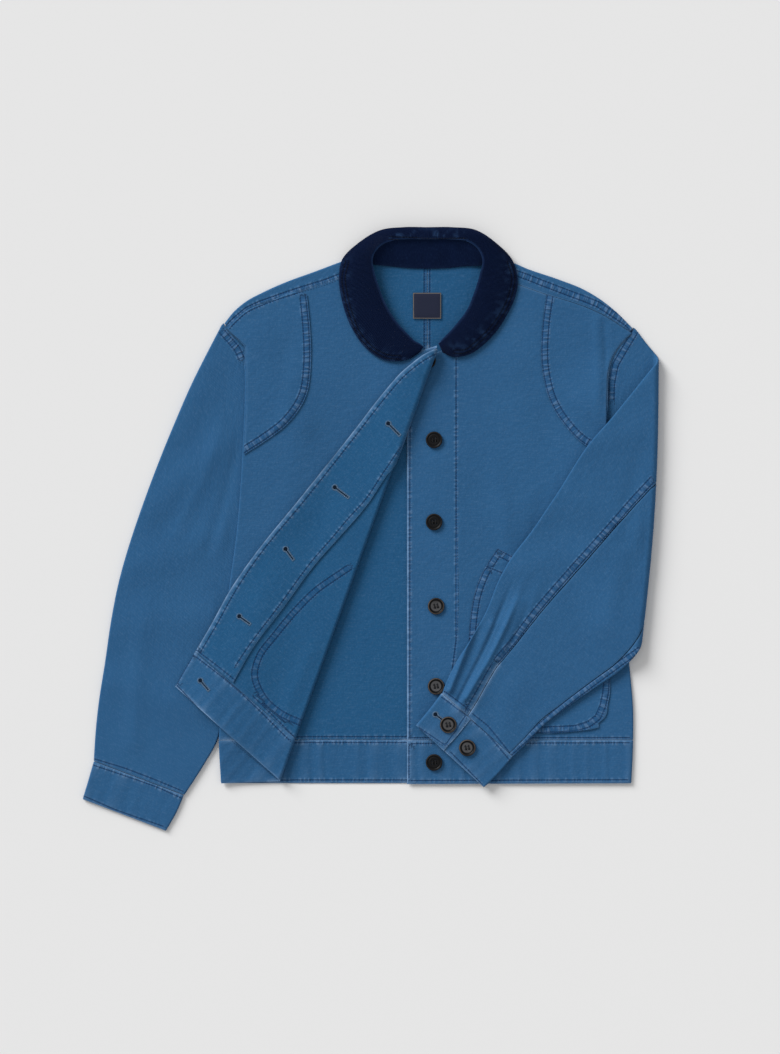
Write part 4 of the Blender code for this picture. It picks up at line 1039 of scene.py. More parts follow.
tube("cloth_cuff_left", "cuff_left", CUFF_LEFT, None, lapped, "folded", ["front_left"], move=fold_arm)
print("cloth pieces", len(CLOTH), "triangles", sum(2 * len(c["piece"].data.polygons) for c in CLOTH.values()))

# %% [markdown]
# ## The corduroy collar
# The collar is one leaf that rises from the neck seam, rolls over and falls back on the shoulders. Across
# it, a section is a short curve from the roll, over the belly, to the outer edge. Its inner half is the
# stand.

# %% Collar leaf and stand
NAVY = colour(8, 23, 54)
NAVY_WORN = colour(44, 72, 112)
NAVY_DEEP = colour(2, 7, 22)
WALE = 1.5  # from rib to rib of the corduroy, in mm
LEAF_WIDE, STAND_WIDE = 52.0, 30.0  # across the leaf and the stand, in mm


def corduroy():
    finish = Finish("navy_corduroy", Roughness=0.95, Sheen_Weight=0.03, Sheen_Roughness=0.5,
                    Specular_IOR_Level=0.05)
    cut = finish.uv((1, 1, 1))
    patchy = finish.noise(cut, 40.0, 4.0, 0.6)
    pile = finish.noise(finish.uv((260.0, 1000.0, 1.0)), 1.0, 2.0)
    base = finish.mix(patchy * 0.9 - 0.3, NAVY, NAVY_DEEP)
    base = finish.mix(pile * 0.7 - 0.36, base, NAVY_WORN)
    base = finish.mix(finish.attribute("rub") * (patchy + 0.35), base, NAVY_WORN)
    # darker along each stitch row: painted shade of the groove the stitches sink into
    row = abs(abs(finish.attribute("band")) - finish.attribute("gap"))
    base = finish.mix(row.fade(0.4, 1.4) * finish.attribute("far").fade(*ROW_REACH) * 0.6, base, NAVY_DEEP)
    finish.set(Base_Color=base, Normal=finish.bump(pile, 0.0004, 0.6), Roughness=patchy * 0.1 + 0.86)
    return finish.material


CORDUROY = corduroy()


def section_walls(middle):
    square = np.cross(np.gradient(middle, axis=0), np.gradient(middle, axis=1))
    return square / np.linalg.norm(square, axis=2)[..., None]


def collar_grid(share_along, share_across):
    """Points of the leaf's middle surface."""
    rows = spline(LEAF, share_along)
    a, b, c = (rows[:, None, k:k + 3] for k in (0, 3, 6))
    t = share_across[None, :, None]
    return (1 - t) ** 2 * a + 2 * t * (1 - t) * b + t**2 * c


leaf_length = length_of([row[3:6] for row in LEAF])
leaf_rows = steps(leaf_length)
leaf = collar_grid(leaf_rows, steps(LEAF_WIDE))
corded = {"material": CORDUROY, "slot": "navy_corduroy"}
shell("cloth_collar_leaf", "collar_leaf", leaf, section_walls(leaf), round_cut(leaf, leaf_rows * leaf_length),
      "folded", ["front_left", "back_left"], **corded)

foot = spline(STAND_FOOT, leaf_rows)
inner_rows = np.array(LEAF[1:-1], float)
roll = inner_rows[:, :3] + (inner_rows[:, 3:6] - inner_rows[:, :3]) * (0.08, 0.08, 0.0) - (0, 0, 2.3)
roll = spline(roll, leaf_rows)
u = steps(STAND_WIDE)[None, :, None]
stand = roll[:, None] * (1 - u) + foot[:, None] * u
shell("cloth_collar_stand", "collar_stand", stand, section_walls(stand),
      round_cut(stand, leaf_rows * leaf_length), "folded", ["back_left"], **corded)

# %% Label
label_finish = Finish("navy_label", Roughness=0.75, Sheen_Weight=0.1, Specular_IOR_Level=0.2)
LABEL_NAVY, LABEL_THREAD = colour(22, 28, 50), colour(98, 92, 88)
border = label_finish.attribute("edge")
weave = label_finish.noise(label_finish.uv((2600.0, 900.0, 1.0)), 1.0, 1.0)
base = label_finish.mix(weave * 0.3, LABEL_NAVY, colour(42, 48, 72))
label_finish.set(Base_Color=label_finish.mix(border.fade(0.8, 1.2), base, LABEL_THREAD),
                 Normal=label_finish.bump(weave, 0.0002, 0.5))
laid_on("cloth_neck_label", "neck_label", ((557, -16.8, 16.8), (588, -16.8, 16.8)), BACK_Z + STEP, "laid",
        ["back_left"], material=label_finish.material, slot="navy_label")

# %% [markdown]
# ## Stitch rows
# Nearly every seam of a work jacket is felled: two rows of stitches hold a flat band, and washing draws that
# band into small puckers. The rows are listed here by piece, as they lie on the table, each with half the
# gap between its two rows. A gap of nothing is a single row. Every mesh point learns how far it is from the
# nearest band.

# %% Where the rows run
FELL = 3.4  # half the gap of a felled seam, in mm


def beside(points, away):
    """A line moved sideways, to the left of its own direction."""
    points = spline(points, np.linspace(0, 1, 40))
    run = np.gradient(points, axis=0)
    run /= np.linalg.norm(run, axis=1)[:, None]
    return points + np.stack([-run[:, 1], run[:, 0]], -1) * away


FLAP_OUTLINE = ((13, 525), (-4, 516), (-20, 505), (-32, 495), (-52, 473), (-72, 448), (-92, 422), (-132, 371),
                (-152, 346), (-215, 268), (-236, 236), (-260, 193), (-279, 161))
FLAP_WAIST = ((-281, 160), (-234, 124), (-161, 54))
FLAP_HEM = ((-304, 118), (-248, 60), (-180, 1))
FACING_SEAM = ((-29, 402), (-52, 368), (-72, 338), (-92, 316), (-112, 292), (-133, 268), (-176, 210),
               (-212, 162), (-228, 138))
POCKET_SHOW = ((-92, 264), (-116, 248), (-133, 236), (-155, 215), (-184, 181), (-205, 152), (-210, 128),
               (-205, 112), (-196, 97), (-176, 80), (-150, 68))
ELBOW_SEAM = ((274, 362), (250, 336), (222, 304), (174, 250), (128, 196), (106, 167), (86, 144))
VENT = ((83, 140), (67, 112), (51, 84))
UNDERARM_SEAM = ((258, 159), (220, 131), (163, 88), (101, 33))
POCKET_LINE = flip(POCKET_LEFT)[::-1]
POCKET_LINE += [(x, y) for y, _, x in sorted(POCKET_LEFT)]
COLLAR_RIGHT = ((-31, 504), (-48, 505.5), (-66, 514), (-84, 532), (-96, 558), (-103, 584), (-105.6, 607),
                (-101, 627))
COLLAR_LEFT = ((31, 511), (48, 512), (65, 525), (82, 542), (96, 562), (106, 586), (109, 608), (103, 627))
SHOULDER_ROW = ((-102, 608.5), (-119.4, 601.6), (-162.6, 588.0), (-201, 574.4), (-216, 567.2), (-231, 554.4),
                (-238, 547))
# piece: rows of (half gap, pucker, points)
ROWS = {
    "cloth_patch_left": [(FELL, 0.9, beside(flip(PATCH_LEFT), -4.8))],
    "cloth_patch_right": [(FELL, 0.9, beside(flip(PATCH_RIGHT), 4.8)), (0, 0.6, beside(SHOULDER_ROW, 2.9))],
    "cloth_back_right": [(2.9, 1.0, SHOULDER_ROW),
                         (FELL, 0.35, ((0.2, 624), (0.2, 55))), (0, 0.6, ((-240, 55.5), (0, 55.5)))],
    "cloth_back_left": [(3.2, 1.0, ((100, 613.5), (113.5, 609.0), (151.8, 594.2), (205.2, 573.8), (240, 550.8),
                                    (252, 538))),
                        (FELL, 0.35, ((0.2, 624), (0.2, 55))), (0, 0.6, ((0, 55.5), (240, 55.5)))],
    "cloth_sleeve_right_top": [(FELL, 1.0, ((-247, 543), (-240, 535), (-227, 520), (-221, 506))),
                               (0, 0.5, ((-400, 29.5), (-361, 17.5), (-323, 3), (-292, -10)))],
    "cloth_sleeve_left_top": [(FELL, 0.9, ((250, 542), (238, 522), (226, 501), (221.5, 478), (221, 455))),
                              (FELL, 1.0, beside(ELBOW_SEAM, -4.6)), (0, 0.8, beside(VENT, -6.6)),
                              (3.0, 0.9, beside(UNDERARM_SEAM, -3.6)), (0, 0.3, ((20, 111), (53, 87)))],
    "cloth_sleeve_left_under": [(0, 0.35, ((54, 84), (73, 69), (99, 37)))],
    "cloth_pocket_left": [(FELL, 0.9, beside(POCKET_LINE, 4.6)),
                          (0, 0.5, ((66, 262), (128, 236), (190, 205)))],
    "cloth_front_left": [(0, 0.9, ((-20.5, 430), (-20.5, 220), (-20.5, 54))),
                         (0, 0.8, ((35, 511), (35, 340), (35, 172), (26, 100), (23, 53))),
                         (0, 0.5, ((-22, 54.5), (244, 54.5)))],
    "cloth_waistband_left": [(0, 1.0, ((-22, 47.5), (244, 48.5))), (0, 0.7, ((-21.5, 46), (-21.5, 4))),
                             (0, 0.6, ((-22, 3), (243, 4)))],
    "cloth_waistband_back": [(0, 1.0, ((-236, 48.5), (236, 48.5))), (0, 0.8, ((-236, 3.5), (236, 3.5)))],
    "cloth_waistband_right": [(0, 0.9, beside(FLAP_WAIST, -4.0)), (0, 0.6, beside(FLAP_HEM, 3.0)),
                              (0, 0.6, ((-299, 120), (-280, 153)))],
    "cloth_front_right": [(0, 0.6, beside(SHOULDER_ROW, 2.9)[:22]), (FELL, 0.5, beside(POCKET_SHOW, 4.0)),
                          (0, 0.6, beside(FLAP_WAIST, 3.0)[22:])],
    "cloth_facing_right": [(0, 1.0, beside(FLAP_OUTLINE, 8.8)), (0, 1.0, beside(FACING_SEAM, -2.4)),
                           (0, 0.6, beside(FLAP_WAIST, 3.0)[:22])],
    "cloth_cuff_right": [(0, 1.0, ((-401, 22), (-361, 8.5), (-323, -5), (-294, -18))),
                         (0, 0.4, ((-411, -15.5), (-372, -32.5), (-314, -52.5)))],
    "cloth_cuff_left": [(0, 0.5, ((17, 104), (46.5, 82), (22, 46), (-11, 68))),
                        (0, 0.8, ((54, 75), (71, 61), (99, 28))), (0, 0.4, ((27, 39), (66, -1)))],
    "cloth_collar_leaf": [(2.0, 0.8, beside(COLLAR_RIGHT, -5.8)), (2.0, 0.8, beside(COLLAR_LEFT, 5.8)),
                          (1.6, 0.3, ((-46, 652.5), (0, 650.5), (47, 650.5)))],
    "cloth_neck_label": [(0, 0.0, ((-15.4, 558.4), (15.4, 558.4), (15.4, 586.6), (-15.4, 586.6),
                                   (-15.4, 558.4)))],
}
print("stitched pieces", len(ROWS))

# %% Distances to the rows
CHANCE = np.random.default_rng(7).random(4096)


def wander(at, seed):
    """Smooth chance values from 0 to 1 along a line, one each whole number."""
    cell = np.floor(at).astype(int)
    t = smooth(at - cell)
    pick = CHANCE[(cell * 31 + seed * 977) % 4096]
    return pick * (1 - t) + CHANCE[((cell + 1) * 31 + seed * 977) % 4096] * t


def patches(x, y, size, seed=0):
    """Smooth chance values from 0 to 1 over the plan, in patches of a size in mm."""
    i, j = np.floor(x / size).astype(int), np.floor(y / size).astype(int)
    s, t = smooth(x / size - i), smooth(y / size - j)

    def pick(a, b):
        return CHANCE[(a * 157 + b * 311 + seed * 1013) % 4096]
    low = pick(i, j) * (1 - s) + pick(i + 1, j) * s
    high = pick(i, j + 1) * (1 - s) + pick(i + 1, j + 1) * s
    return low * (1 - t) + high * t


def nearest_row(x, y, rows):
    """Signed distance from the nearest band's middle, run along it, its half gap and its pucker."""
    best = np.full(len(x), 90.0)
    signed, run, gap, pucker = best.copy(), np.zeros(len(x)), np.zeros(len(x)), np.zeros(len(x))
    for number, (half, strength, points) in enumerate(rows):
        points = np.asarray(points, float)
        along = 40.0 * number
        for k, ((x0, y0), (x1, y1)) in enumerate(zip(points, points[1:])):
            dx, dy = x1 - x0, y1 - y0
            size = math.hypot(dx, dy)
            past = ((x - x0) * dx + (y - y0) * dy) / size**2
            t = np.clip(past, 0.0, 1.0)
            away = np.hypot(x - x0 - t * dx, y - y0 - t * dy)
            beyond = (past < 0) & (k == 0) | (past > 1) & (k == len(points) - 2)
            near = (away < best) & ~beyond
            side = np.sign((x - x0) * dy - (y - y0) * dx)
            best = np.where(near, away, best)
            signed = np.where(near, away * side, signed)
            run = np.where(near, along + t * size, run)
            gap, pucker = np.where(near, half, gap), np.where(near, strength, pucker)
            along += size
    return signed, run, gap, pucker


# %% [markdown]
# ## Puckers and creases in the mesh
# The distances also shape the cloth: a groove under each row, a small swell for every pucker between them,
# and the wide soft unevenness of canvas that has been washed. All layers that lie on each other rise
# together, so that none cuts through the next. What rises is also what wears, so the same numbers feed the
# colour.

# %% Shape the cloth
SWELL = 1.5  # height of the wide unevenness, in mm
PUCKER = 0.42  # height of a pucker
DIP = 0.28  # depth of the groove under a row


def swell(x, y):
    wide = patches(x, y, 58.0, 1) * 0.62 + patches(x + 0.4 * y, y - 0.4 * x, 27.0, 2) * 0.28
    return SWELL * (wide + patches(x, y, 13.0, 3) * 0.10)


# piece: 1 if its outer face shows in the picture, -1 if its inner face does; the others count on both
SHOWN = {"cloth_front_right": -1, "cloth_waistband_right": -1, "cloth_facing_right": -1, "cloth_back_right": 0,
         "cloth_back_left": 0, "cloth_waistband_back": 0}
UPSIDE_DOWN = ("cloth_back_right", "cloth_back_left", "cloth_waistband_back")  # made with their inside up
EDGE_WEAR = {"cloth_facing_right": 0.2, "cloth_front_right": 0.15, "cloth_waistband_right": 0.4,
             "cloth_patch_left": 0.1, "cloth_patch_right": 0.1, "cloth_pocket_left": 0.25,
             "cloth_sleeve_left_top": 0.25, "cloth_sleeve_left_under": 0.1, "cloth_sleeve_right_top": 0.15,
             "cloth_back_left": 0.15, "cloth_back_right": 0.15}  # share of the edges worn pale
ANY_WEAR = 0.5  # of the edges of all others
# creases: pieces, then points, half width and height in mm; each grows from its first end
SLEEVE = ("cloth_sleeve_left_top", "cloth_sleeve_left_under")
BODY_LEFT = ("cloth_front_left", "cloth_patch_left")
ARM_RIGHT, FLAP = ("cloth_sleeve_right_top",), ("cloth_front_right",)
CREASES = ((SLEEVE, ((98, 288), (58, 190), (27, 112)), 3.2, 4.2),
           (SLEEVE, ((108, 256), (70, 165), (37, 99)), 2.6, -2.4),
           (SLEEVE, ((119, 250), (81, 163), (47, 103)), 3.0, 3.5),
           (SLEEVE, ((132, 240), (92, 152), (58, 104)), 2.8, -1.6),
           (SLEEVE, ((146, 262), (104, 180), (76, 140)), 6.0, 1.3),
           (SLEEVE, ((246, 330), (226, 240), (212, 190)), 13.0, 1.0),
           (SLEEVE, ((262, 420), (240, 330), (236, 290)), 9.0, -0.9),
           (BODY_LEFT, ((214, 420), (215, 500), (212, 556)), 3.4, -0.7),
           (BODY_LEFT, ((203, 410), (205, 490), (204, 556)), 6.0, 0.9),
           (BODY_LEFT, ((70, 420), (92, 330), (96, 250)), 12.0, 1.0),
           (BODY_LEFT, ((150, 380), (128, 300), (118, 240)), 10.0, -0.8),
           (ARM_RIGHT, ((-240, 470), (-262, 380), (-300, 300)), 9.0, 1.1),
           (ARM_RIGHT, ((-226, 430), (-240, 350), (-262, 280)), 7.0, -1.0),
           (ARM_RIGHT, ((-330, 250), (-345, 150), (-352, 50)), 12.0, 1.1),
           (FLAP, ((-120, 200), (-150, 130), (-172, 80)), 9.0, 0.9),
           (FLAP + ("cloth_patch_right",), ((-150, 570), (-160, 470), (-190, 380)), 12.0, 0.9))
# wrinkles of the bands: piece, direction along it, pitch and height in mm
WRINKLES = {"cloth_waistband_left": ((1, 0.01), 5.5, 0.9), "cloth_waistband_back": ((1, 0.01), 5.5, 0.9),
            "cloth_waistband_right": ((-0.78, 0.62), 6.0, 0.9), "cloth_cuff_right": ((0.94, -0.34), 7.0, 0.8),
            "cloth_cuff_left": ((0.66, -0.75), 7.0, 0.7), "cloth_facing_right": ((0.62, 0.78), 13.0, 0.5)}
WORN_LINES = (FLAP_OUTLINE, VENT, ((16.5, 107), (52.5, 81), (18, 33)), FLAP_HEM, ((-24, 500), (-24, 0)))


def line_distance(x, y, points):
    """Distance from a line over the plan, and the run along it to the nearest place, in mm."""
    line = spline(points, np.linspace(0, 1, 24))
    best, run_at, run_here = np.full(len(x), 1e9), np.zeros(len(x)), 0.0
    for (x0, y0), (x1, y1) in zip(line, line[1:]):
        dx, dy = x1 - x0, y1 - y0
        size = math.hypot(dx, dy)
        t = np.clip(((x - x0) * dx + (y - y0) * dy) / size**2, 0.0, 1.0)
        away = np.hypot(x - x0 - t * dx, y - y0 - t * dy)
        run_at = np.where(away < best, run_here + t * size, run_at)
        best = np.minimum(best, away)
        run_here += size
    return best, run_at


def crease_height(x, y, points, half, height):
    """Height of one crease over the plan."""
    away, run = line_distance(x, y, points)
    return height * np.exp(-(away / half) ** 2) * smooth(run / length_of(points) / 0.45)


for name, facts in CLOTH.items():
    mesh = facts["piece"].data
    points = read_points(mesh) / MM + (*MIDDLE, 0.0)
    x, y, z = points.T
    normals = np.empty(len(mesh.vertices) * 3, np.float32)
    mesh.vertex_normals.foreach_get("vector", normals)
    normal_up = normals.reshape(-1, 3)[:, 2]
    inner, edge = recall(mesh, "reverse"), recall(mesh, "edge")
    shown = SHOWN.get(name, 1)
    layer = np.sign(normal_up) * (1 - 2 * inner)
    on_show = (layer * shown > 0) if shown else np.full(len(x), True)
    signed, run, gap, pucker = nearest_row(x, y, ROWS.get(name, []))
    signed = np.where(on_show, signed, 90.0)
    to_row = np.abs(np.abs(signed) - gap)
    crest = smooth(wander(run / 3.6, 5) * 2.0 - 0.55)
    within = np.exp(-(np.abs(signed) / (gap + 3.0)) ** 2)
    up = np.clip(normal_up, 0.0, 1.0)
    rise = up * (PUCKER * pucker * crest * within - DIP * np.exp(-(to_row / 1.0) ** 2))
    wear = np.full(len(x), EDGE_WEAR.get(name, ANY_WEAR))
    for line in WORN_LINES:
        wear = np.maximum(wear, 1.15 * (line_distance(x, y, line)[0] < 6.0))
    worn_edge = np.exp(-edge / 1.1) * (0.45 + 0.7 * wander(x / 11.0 + y / 7.0, 8)) * wear
    for pieces, line, half, height in CREASES:
        if name in pieces:
            rise += crease_height(x, y, line, half, height) * on_show * smooth((edge - 1.0) / 5.0)
    if name in WRINKLES:
        (along_x, along_y), pitch, height = WRINKLES[name]
        at = (x * along_x + y * along_y) / pitch + 0.35 * patches(x, y, 30.0, 11)
        wave = (wander(at, 12) - 0.4) * smooth((edge - 0.6) / 3.0)
        rise += height * wave * (z > 1.0)
        worn_edge += (0.4 if pitch < 12 else 0.0) * np.clip(wave, 0, 1) * np.exp(-edge / 9.0)
    points[:, 2] = np.maximum(z + rise + swell(x, y) * smooth((z - 1.25) / 3.0), np.minimum(z, 0.02))
    write_points(mesh, to_frame(points))
    if name in UPSIDE_DOWN:
        inner = 1 - inner
    paler = inner * (0.3 if "waistband" in name or "cuff" in name else 1.0)
    for what, value in (("reverse", paler), ("band", signed), ("far", np.abs(signed)), ("run", run),
                        ("gap", gap), ("pucker", pucker), ("rub", np.clip(worn_edge, 0, 1))):
        store(mesh, what, value)
print("shaped", len(CLOTH), "pieces")

# %% [markdown]
# ## Stitches
# A stitch is a short raised loop of thread that lies along its row. Drawing thousands by hand makes no
# sense, so Geometry Nodes walk each row in equal steps and set one small bead, drawn long, on every step.
# The rows are first dropped on their pieces from above, so each stitch lies on the cloth that it holds.

# %% The stitch tree
# of a row of stitches: from one to the next, then length, width and height of each, in mm
STITCH = (3.3, 2.5, 0.62, 0.5)
LABEL_STITCH = (1.6, 1.1, 0.5, 0.4)
HOLE_STITCH = (1.0, 0.85, 2.25, 0.55)  # wider than long, since the thread crosses the edge
BUTTON_STITCH = (0.35, 1.1, 1.7, 1.0)
SIZES = ("Pitch", "Long", "Wide", "High")


def stitch_tree():
    tree = bpy.data.node_groups.new("stitch_row", "GeometryNodeTree")
    face = tree.interface
    face.new_socket("Geometry", in_out="INPUT", socket_type="NodeSocketGeometry")
    for what, value in zip(SIZES, STITCH):
        face.new_socket(what, in_out="INPUT", socket_type="NodeSocketFloat").default_value = value * MM
    face.new_socket("Thread", in_out="INPUT", socket_type="NodeSocketMaterial")
    face.new_socket("Geometry", in_out="OUTPUT", socket_type="NodeSocketGeometry")
    new, link = tree.nodes.new, tree.links.new
    start, end = new("NodeGroupInput"), new("NodeGroupOutput")
    curve, walk = new("GeometryNodeMeshToCurve"), new("GeometryNodeResampleCurve")
    walk.mode = "LENGTH"
    tangent, aim = new("GeometryNodeInputTangent"), new("FunctionNodeAlignRotationToVector")
    aim.axis = "X"
    size, bead = new("ShaderNodeCombineXYZ"), new("GeometryNodeMeshIcoSphere")
    bead.inputs["Radius"].default_value = 0.5
    bead.inputs["Subdivisions"].default_value = 1
    put, real = new("GeometryNodeInstanceOnPoints"), new("GeometryNodeRealizeInstances")
    paint = new("GeometryNodeSetMaterial")
    link(start.outputs["Geometry"], curve.inputs[0])
    link(curve.outputs[0], walk.inputs["Curve"])
    link(start.outputs["Pitch"], walk.inputs["Length"])
    link(walk.outputs[0], put.inputs["Points"])
    link(bead.outputs[0], put.inputs["Instance"])
    link(tangent.outputs[0], aim.inputs["Vector"])
    link(aim.outputs[0], put.inputs["Rotation"])
    for socket, what in zip("XYZ", SIZES[1:]):
        link(start.outputs[what], size.inputs[socket])
    link(size.outputs[0], put.inputs["Scale"])
    link(put.outputs[0], real.inputs[0])
    link(real.outputs[0], paint.inputs["Geometry"])
    link(start.outputs["Thread"], paint.inputs["Material"])
    link(paint.outputs[0], end.inputs[0])
    return tree


STITCH_TREE = stitch_tree()


def grow(name, lines, tree, slot, values):
    """Bakes a Geometry Nodes tree over lines of frame points into one plain piece."""
    points, edges = [], []
    for line in lines:
        start = len(points)
        points += [tuple(p) for p in line]
        edges += [(start + k, start + k + 1) for k in range(len(line) - 1)]
    guide = bpy.data.meshes.new(name + "_rows")
    guide.from_pydata(points, edges, [])
    walker = show(name + "_rows", guide)
    nodes = walker.modifiers.new("grow", "NODES")
    nodes.node_group = tree
    for socket in tree.interface.items_tree:
        if socket.name in values:
            nodes[socket.identifier] = values[socket.name]
    bpy.context.view_layer.update()
    made = bpy.data.meshes.new_from_object(walker.evaluated_get(bpy.context.evaluated_depsgraph_get()))
    made.name = name
    bpy.data.objects.remove(walker)
    bpy.data.meshes.remove(guide)
    for polygon in made.polygons:
        polygon.use_smooth = True
    piece = show(name, made)
    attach(piece, "root")
    print(name, "triangles", sum(len(p.vertices) - 2 for p in made.polygons))
    return piece


def sew(name, lines, thread, slot, sizes):
    """One piece of stitches along lines of frame points."""
    grow(name, lines, STITCH_TREE, slot, dict(zip(SIZES, (v * MM for v in sizes)), Thread=thread))


# %% Drop the rows on the cloth
LIFT = 0.12  # of the thread's middle over the cloth, in mm
TREES = {}


def surface(name):
    """A piece's faces, ready to be hit by a ray."""
    if name not in TREES:
        mesh = CLOTH[name]["piece"].data
        faces = [p.vertices[:] for p in mesh.polygons]
        TREES[name] = BVHTree.FromPolygons([v.co[:] for v in mesh.vertices], faces)
    return TREES[name]


def drop(name, x, y, lift=LIFT):
    """The frame's point on top of a piece over a plan point, or None beside it."""
    hit = surface(name).ray_cast(Vector(place(x, y, 60.0)), Vector((0, 0, -1)))[0]
    return None if hit is None else (hit.x, hit.y, hit.z + lift * MM)


def dropped(name, points):
    """The stretches of a plan line that lie on a piece, dropped on it."""
    stretches, current = [], []
    for x, y in spline(points, np.linspace(0, 1, max(int(length_of(points) / 2.0), 3))):
        spot = drop(name, x, y)
        if spot is None:
            stretches.append(current)
            current = []
        else:
            current.append(spot)
    return [s for s in stretches + [current] if len(s) > 2]


threads = {"blue_canvas": [], "navy_corduroy": [], "navy_label": []}
for name, rows in ROWS.items():
    for half_gap, _, points in rows:
        lines = [beside(points, side) for side in (half_gap, -half_gap)] if half_gap else [points]
        for line in lines:
            threads[CLOTH[name]["slot"]] += dropped(name, line)


def thread(name, tone):
    finish = Finish(name, Roughness=0.7, Sheen_Weight=0.1, Specular_IOR_Level=0.25)
    where = finish.add("ShaderNodeTexCoord", out="Object")
    shade = finish.noise(where, 300.0, 2.0)
    twist = finish.add("ShaderNodeTexWave", {"bands_direction": "DIAGONAL"},
                       {"Vector": where, "Scale": 900.0})
    finish.set(Base_Color=finish.mix(shade, tone, tuple(0.55 * c for c in tone[:3]) + (1.0,)),
               Normal=finish.bump(twist, 0.0001, 0.5))
    return finish.material


BLUE_THREAD = thread("blue_thread", colour(24, 68, 114))
NAVY_THREAD = thread("navy_thread", colour(6, 16, 40))
GREY_THREAD = thread("grey_thread", colour(120, 116, 112))
PALE_THREAD = thread("buttonhole_thread", colour(100, 132, 164))
sew("stitches_canvas", threads["blue_canvas"], BLUE_THREAD, "blue_canvas", STITCH)
sew("stitches_collar", threads["navy_corduroy"], NAVY_THREAD, "navy_corduroy", STITCH)
sew("stitches_label", threads["navy_label"], GREY_THREAD, "navy_label", LABEL_STITCH)

# %% [markdown]
# ## Wales of the corduroy
# Corduroy has raised ribs. They run across the collar, from the roll to the outer edge, so another small tree
# sweeps a thin round along each rib line that lies on the leaf.

# %% Wales
RIB, RIB_LIFT = 0.42, 0.05  # radius of a rib, and its middle over the cloth, in mm


def wale_tree():
    tree = bpy.data.node_groups.new("wales", "GeometryNodeTree")
    face = tree.interface
    face.new_socket("Geometry", in_out="INPUT", socket_type="NodeSocketGeometry")
    face.new_socket("Radius", in_out="INPUT", socket_type="NodeSocketFloat").default_value = 0.0004
    face.new_socket("Pile", in_out="INPUT", socket_type="NodeSocketMaterial")
    face.new_socket("Geometry", in_out="OUTPUT", socket_type="NodeSocketGeometry")
    new, link = tree.nodes.new, tree.links.new
    start, end = new("NodeGroupInput"), new("NodeGroupOutput")
    curve, section = new("GeometryNodeMeshToCurve"), new("GeometryNodeCurvePrimitiveCircle")
    sweep = new("GeometryNodeCurveToMesh")
    section.inputs["Resolution"].default_value = 5
    sweep.inputs["Fill Caps"].default_value = True
    real, paint = new("GeometryNodeRealizeInstances"), new("GeometryNodeSetMaterial")
    link(start.outputs["Geometry"], curve.inputs[0])
    link(start.outputs["Radius"], section.inputs["Radius"])
    link(curve.outputs[0], sweep.inputs["Curve"])
    link(section.outputs[0], sweep.inputs["Profile Curve"])
    link(sweep.outputs[0], real.inputs[0])
    link(real.outputs[0], paint.inputs["Geometry"])
    link(start.outputs["Pile"], paint.inputs["Material"])
    link(paint.outputs[0], end.inputs[0])
    return tree


rib_lines = []
for share in np.linspace(0.004, 0.996, int(leaf_length / WALE)):
    line = collar_grid(np.array([share]), np.linspace(0.06, 0.985, 14))[0]
    spots = [drop("cloth_collar_leaf", x, y, RIB_LIFT) for x, y, _ in line]
    spots = [s for s in spots if s]
    if len(spots) > 3:
        rib_lines.append(spots)
wales = grow("collar_wales", rib_lines, wale_tree(), "navy_corduroy", {"Radius": RIB * MM, "Pile": CORDUROY})
x, y, _ = (read_points(wales.data) / MM + (*MIDDLE, 0.0)).T
signed, _, gap, _ = nearest_row(x, y, ROWS["cloth_collar_leaf"])
worn = 0.8 * smooth(1.6 * patches(x, y, 4.0, 15) - 0.6) * np.exp(-((signed + 2) / 9) ** 2)
for what, value in (("band", signed), ("far", np.abs(signed)), ("gap", gap), ("rub", worn)):
    store(wales.data, what, value)

# %% [markdown]
# ## Keyhole buttonholes
# Each buttonhole has a round eye towards the edge and a slit behind it, worked all round with close stitches.
# The opening is not cut: a dark sheet in its shape lies over the cloth as painted shade of the hole.
# The same tree sews them: its beads are set close and drawn wider than long, so each crosses the line.

# %% Buttonholes
EYE, SLIT_WIDE = 2.3, 1.1  # radius of the eye and width of the slit, in mm
HOLE_EDGE = 0.9  # from the cut to the line of stitches, in mm
# the dark slit is a sheet of painted shade standing for the opening
HOLE_LIFT, SLIT_LIFT = 0.25, 0.16  # of the stitches and the dark slit over the cloth, in mm
# piece, eye x, y, end of the slit x, y
BUTTONHOLES = (("cloth_facing_right", -46.4, 430.8, -32.4, 416.4),
               ("cloth_facing_right", -110.4, 354.6, -93.6, 342.0),
               ("cloth_facing_right", -169.2, 280.8, -159.6, 267.6),
               ("cloth_facing_right", -224.4, 200.4, -211.2, 190.8),
               ("cloth_waistband_right", -271.2, 123.6, -260.8, 111.6),
               ("cloth_cuff_left", 10.0, 83.0, 21.0, 74.5))
# finish of the dark sheets: painted shade of each buttonhole's opening
slit_shade_finish = Finish("buttonhole_painted_shade", Roughness=0.95, Specular_IOR_Level=0.05)
where = slit_shade_finish.add("ShaderNodeTexCoord", out="Object")
shade = slit_shade_finish.noise(where, 900.0)
slit_shade_finish.set(Base_Color=slit_shade_finish.mix(shade, colour(14, 20, 30), colour(22, 34, 50)))


def keyhole(x0, y0, x1, y1, grow=0.0):
    """Outline of a keyhole on the plan, from its eye to the end of its slit."""
    slit = math.atan2(y1 - y0, x1 - x0)
    half, radius = SLIT_WIDE / 2 + grow, EYE + grow
    gap = math.asin(half / radius)
    round_eye = [slit + a for a in np.linspace(gap, 2 * math.pi - gap, 18)]
    outline = [(x0 + radius * math.cos(a), y0 + radius * math.sin(a)) for a in round_eye]
    side = (-math.sin(slit) * half, math.cos(slit) * half)
    tail = [(x1 - side[0], y1 - side[1]), (x1 + side[0], y1 + side[1])]
    return outline + tail + outline[:1]


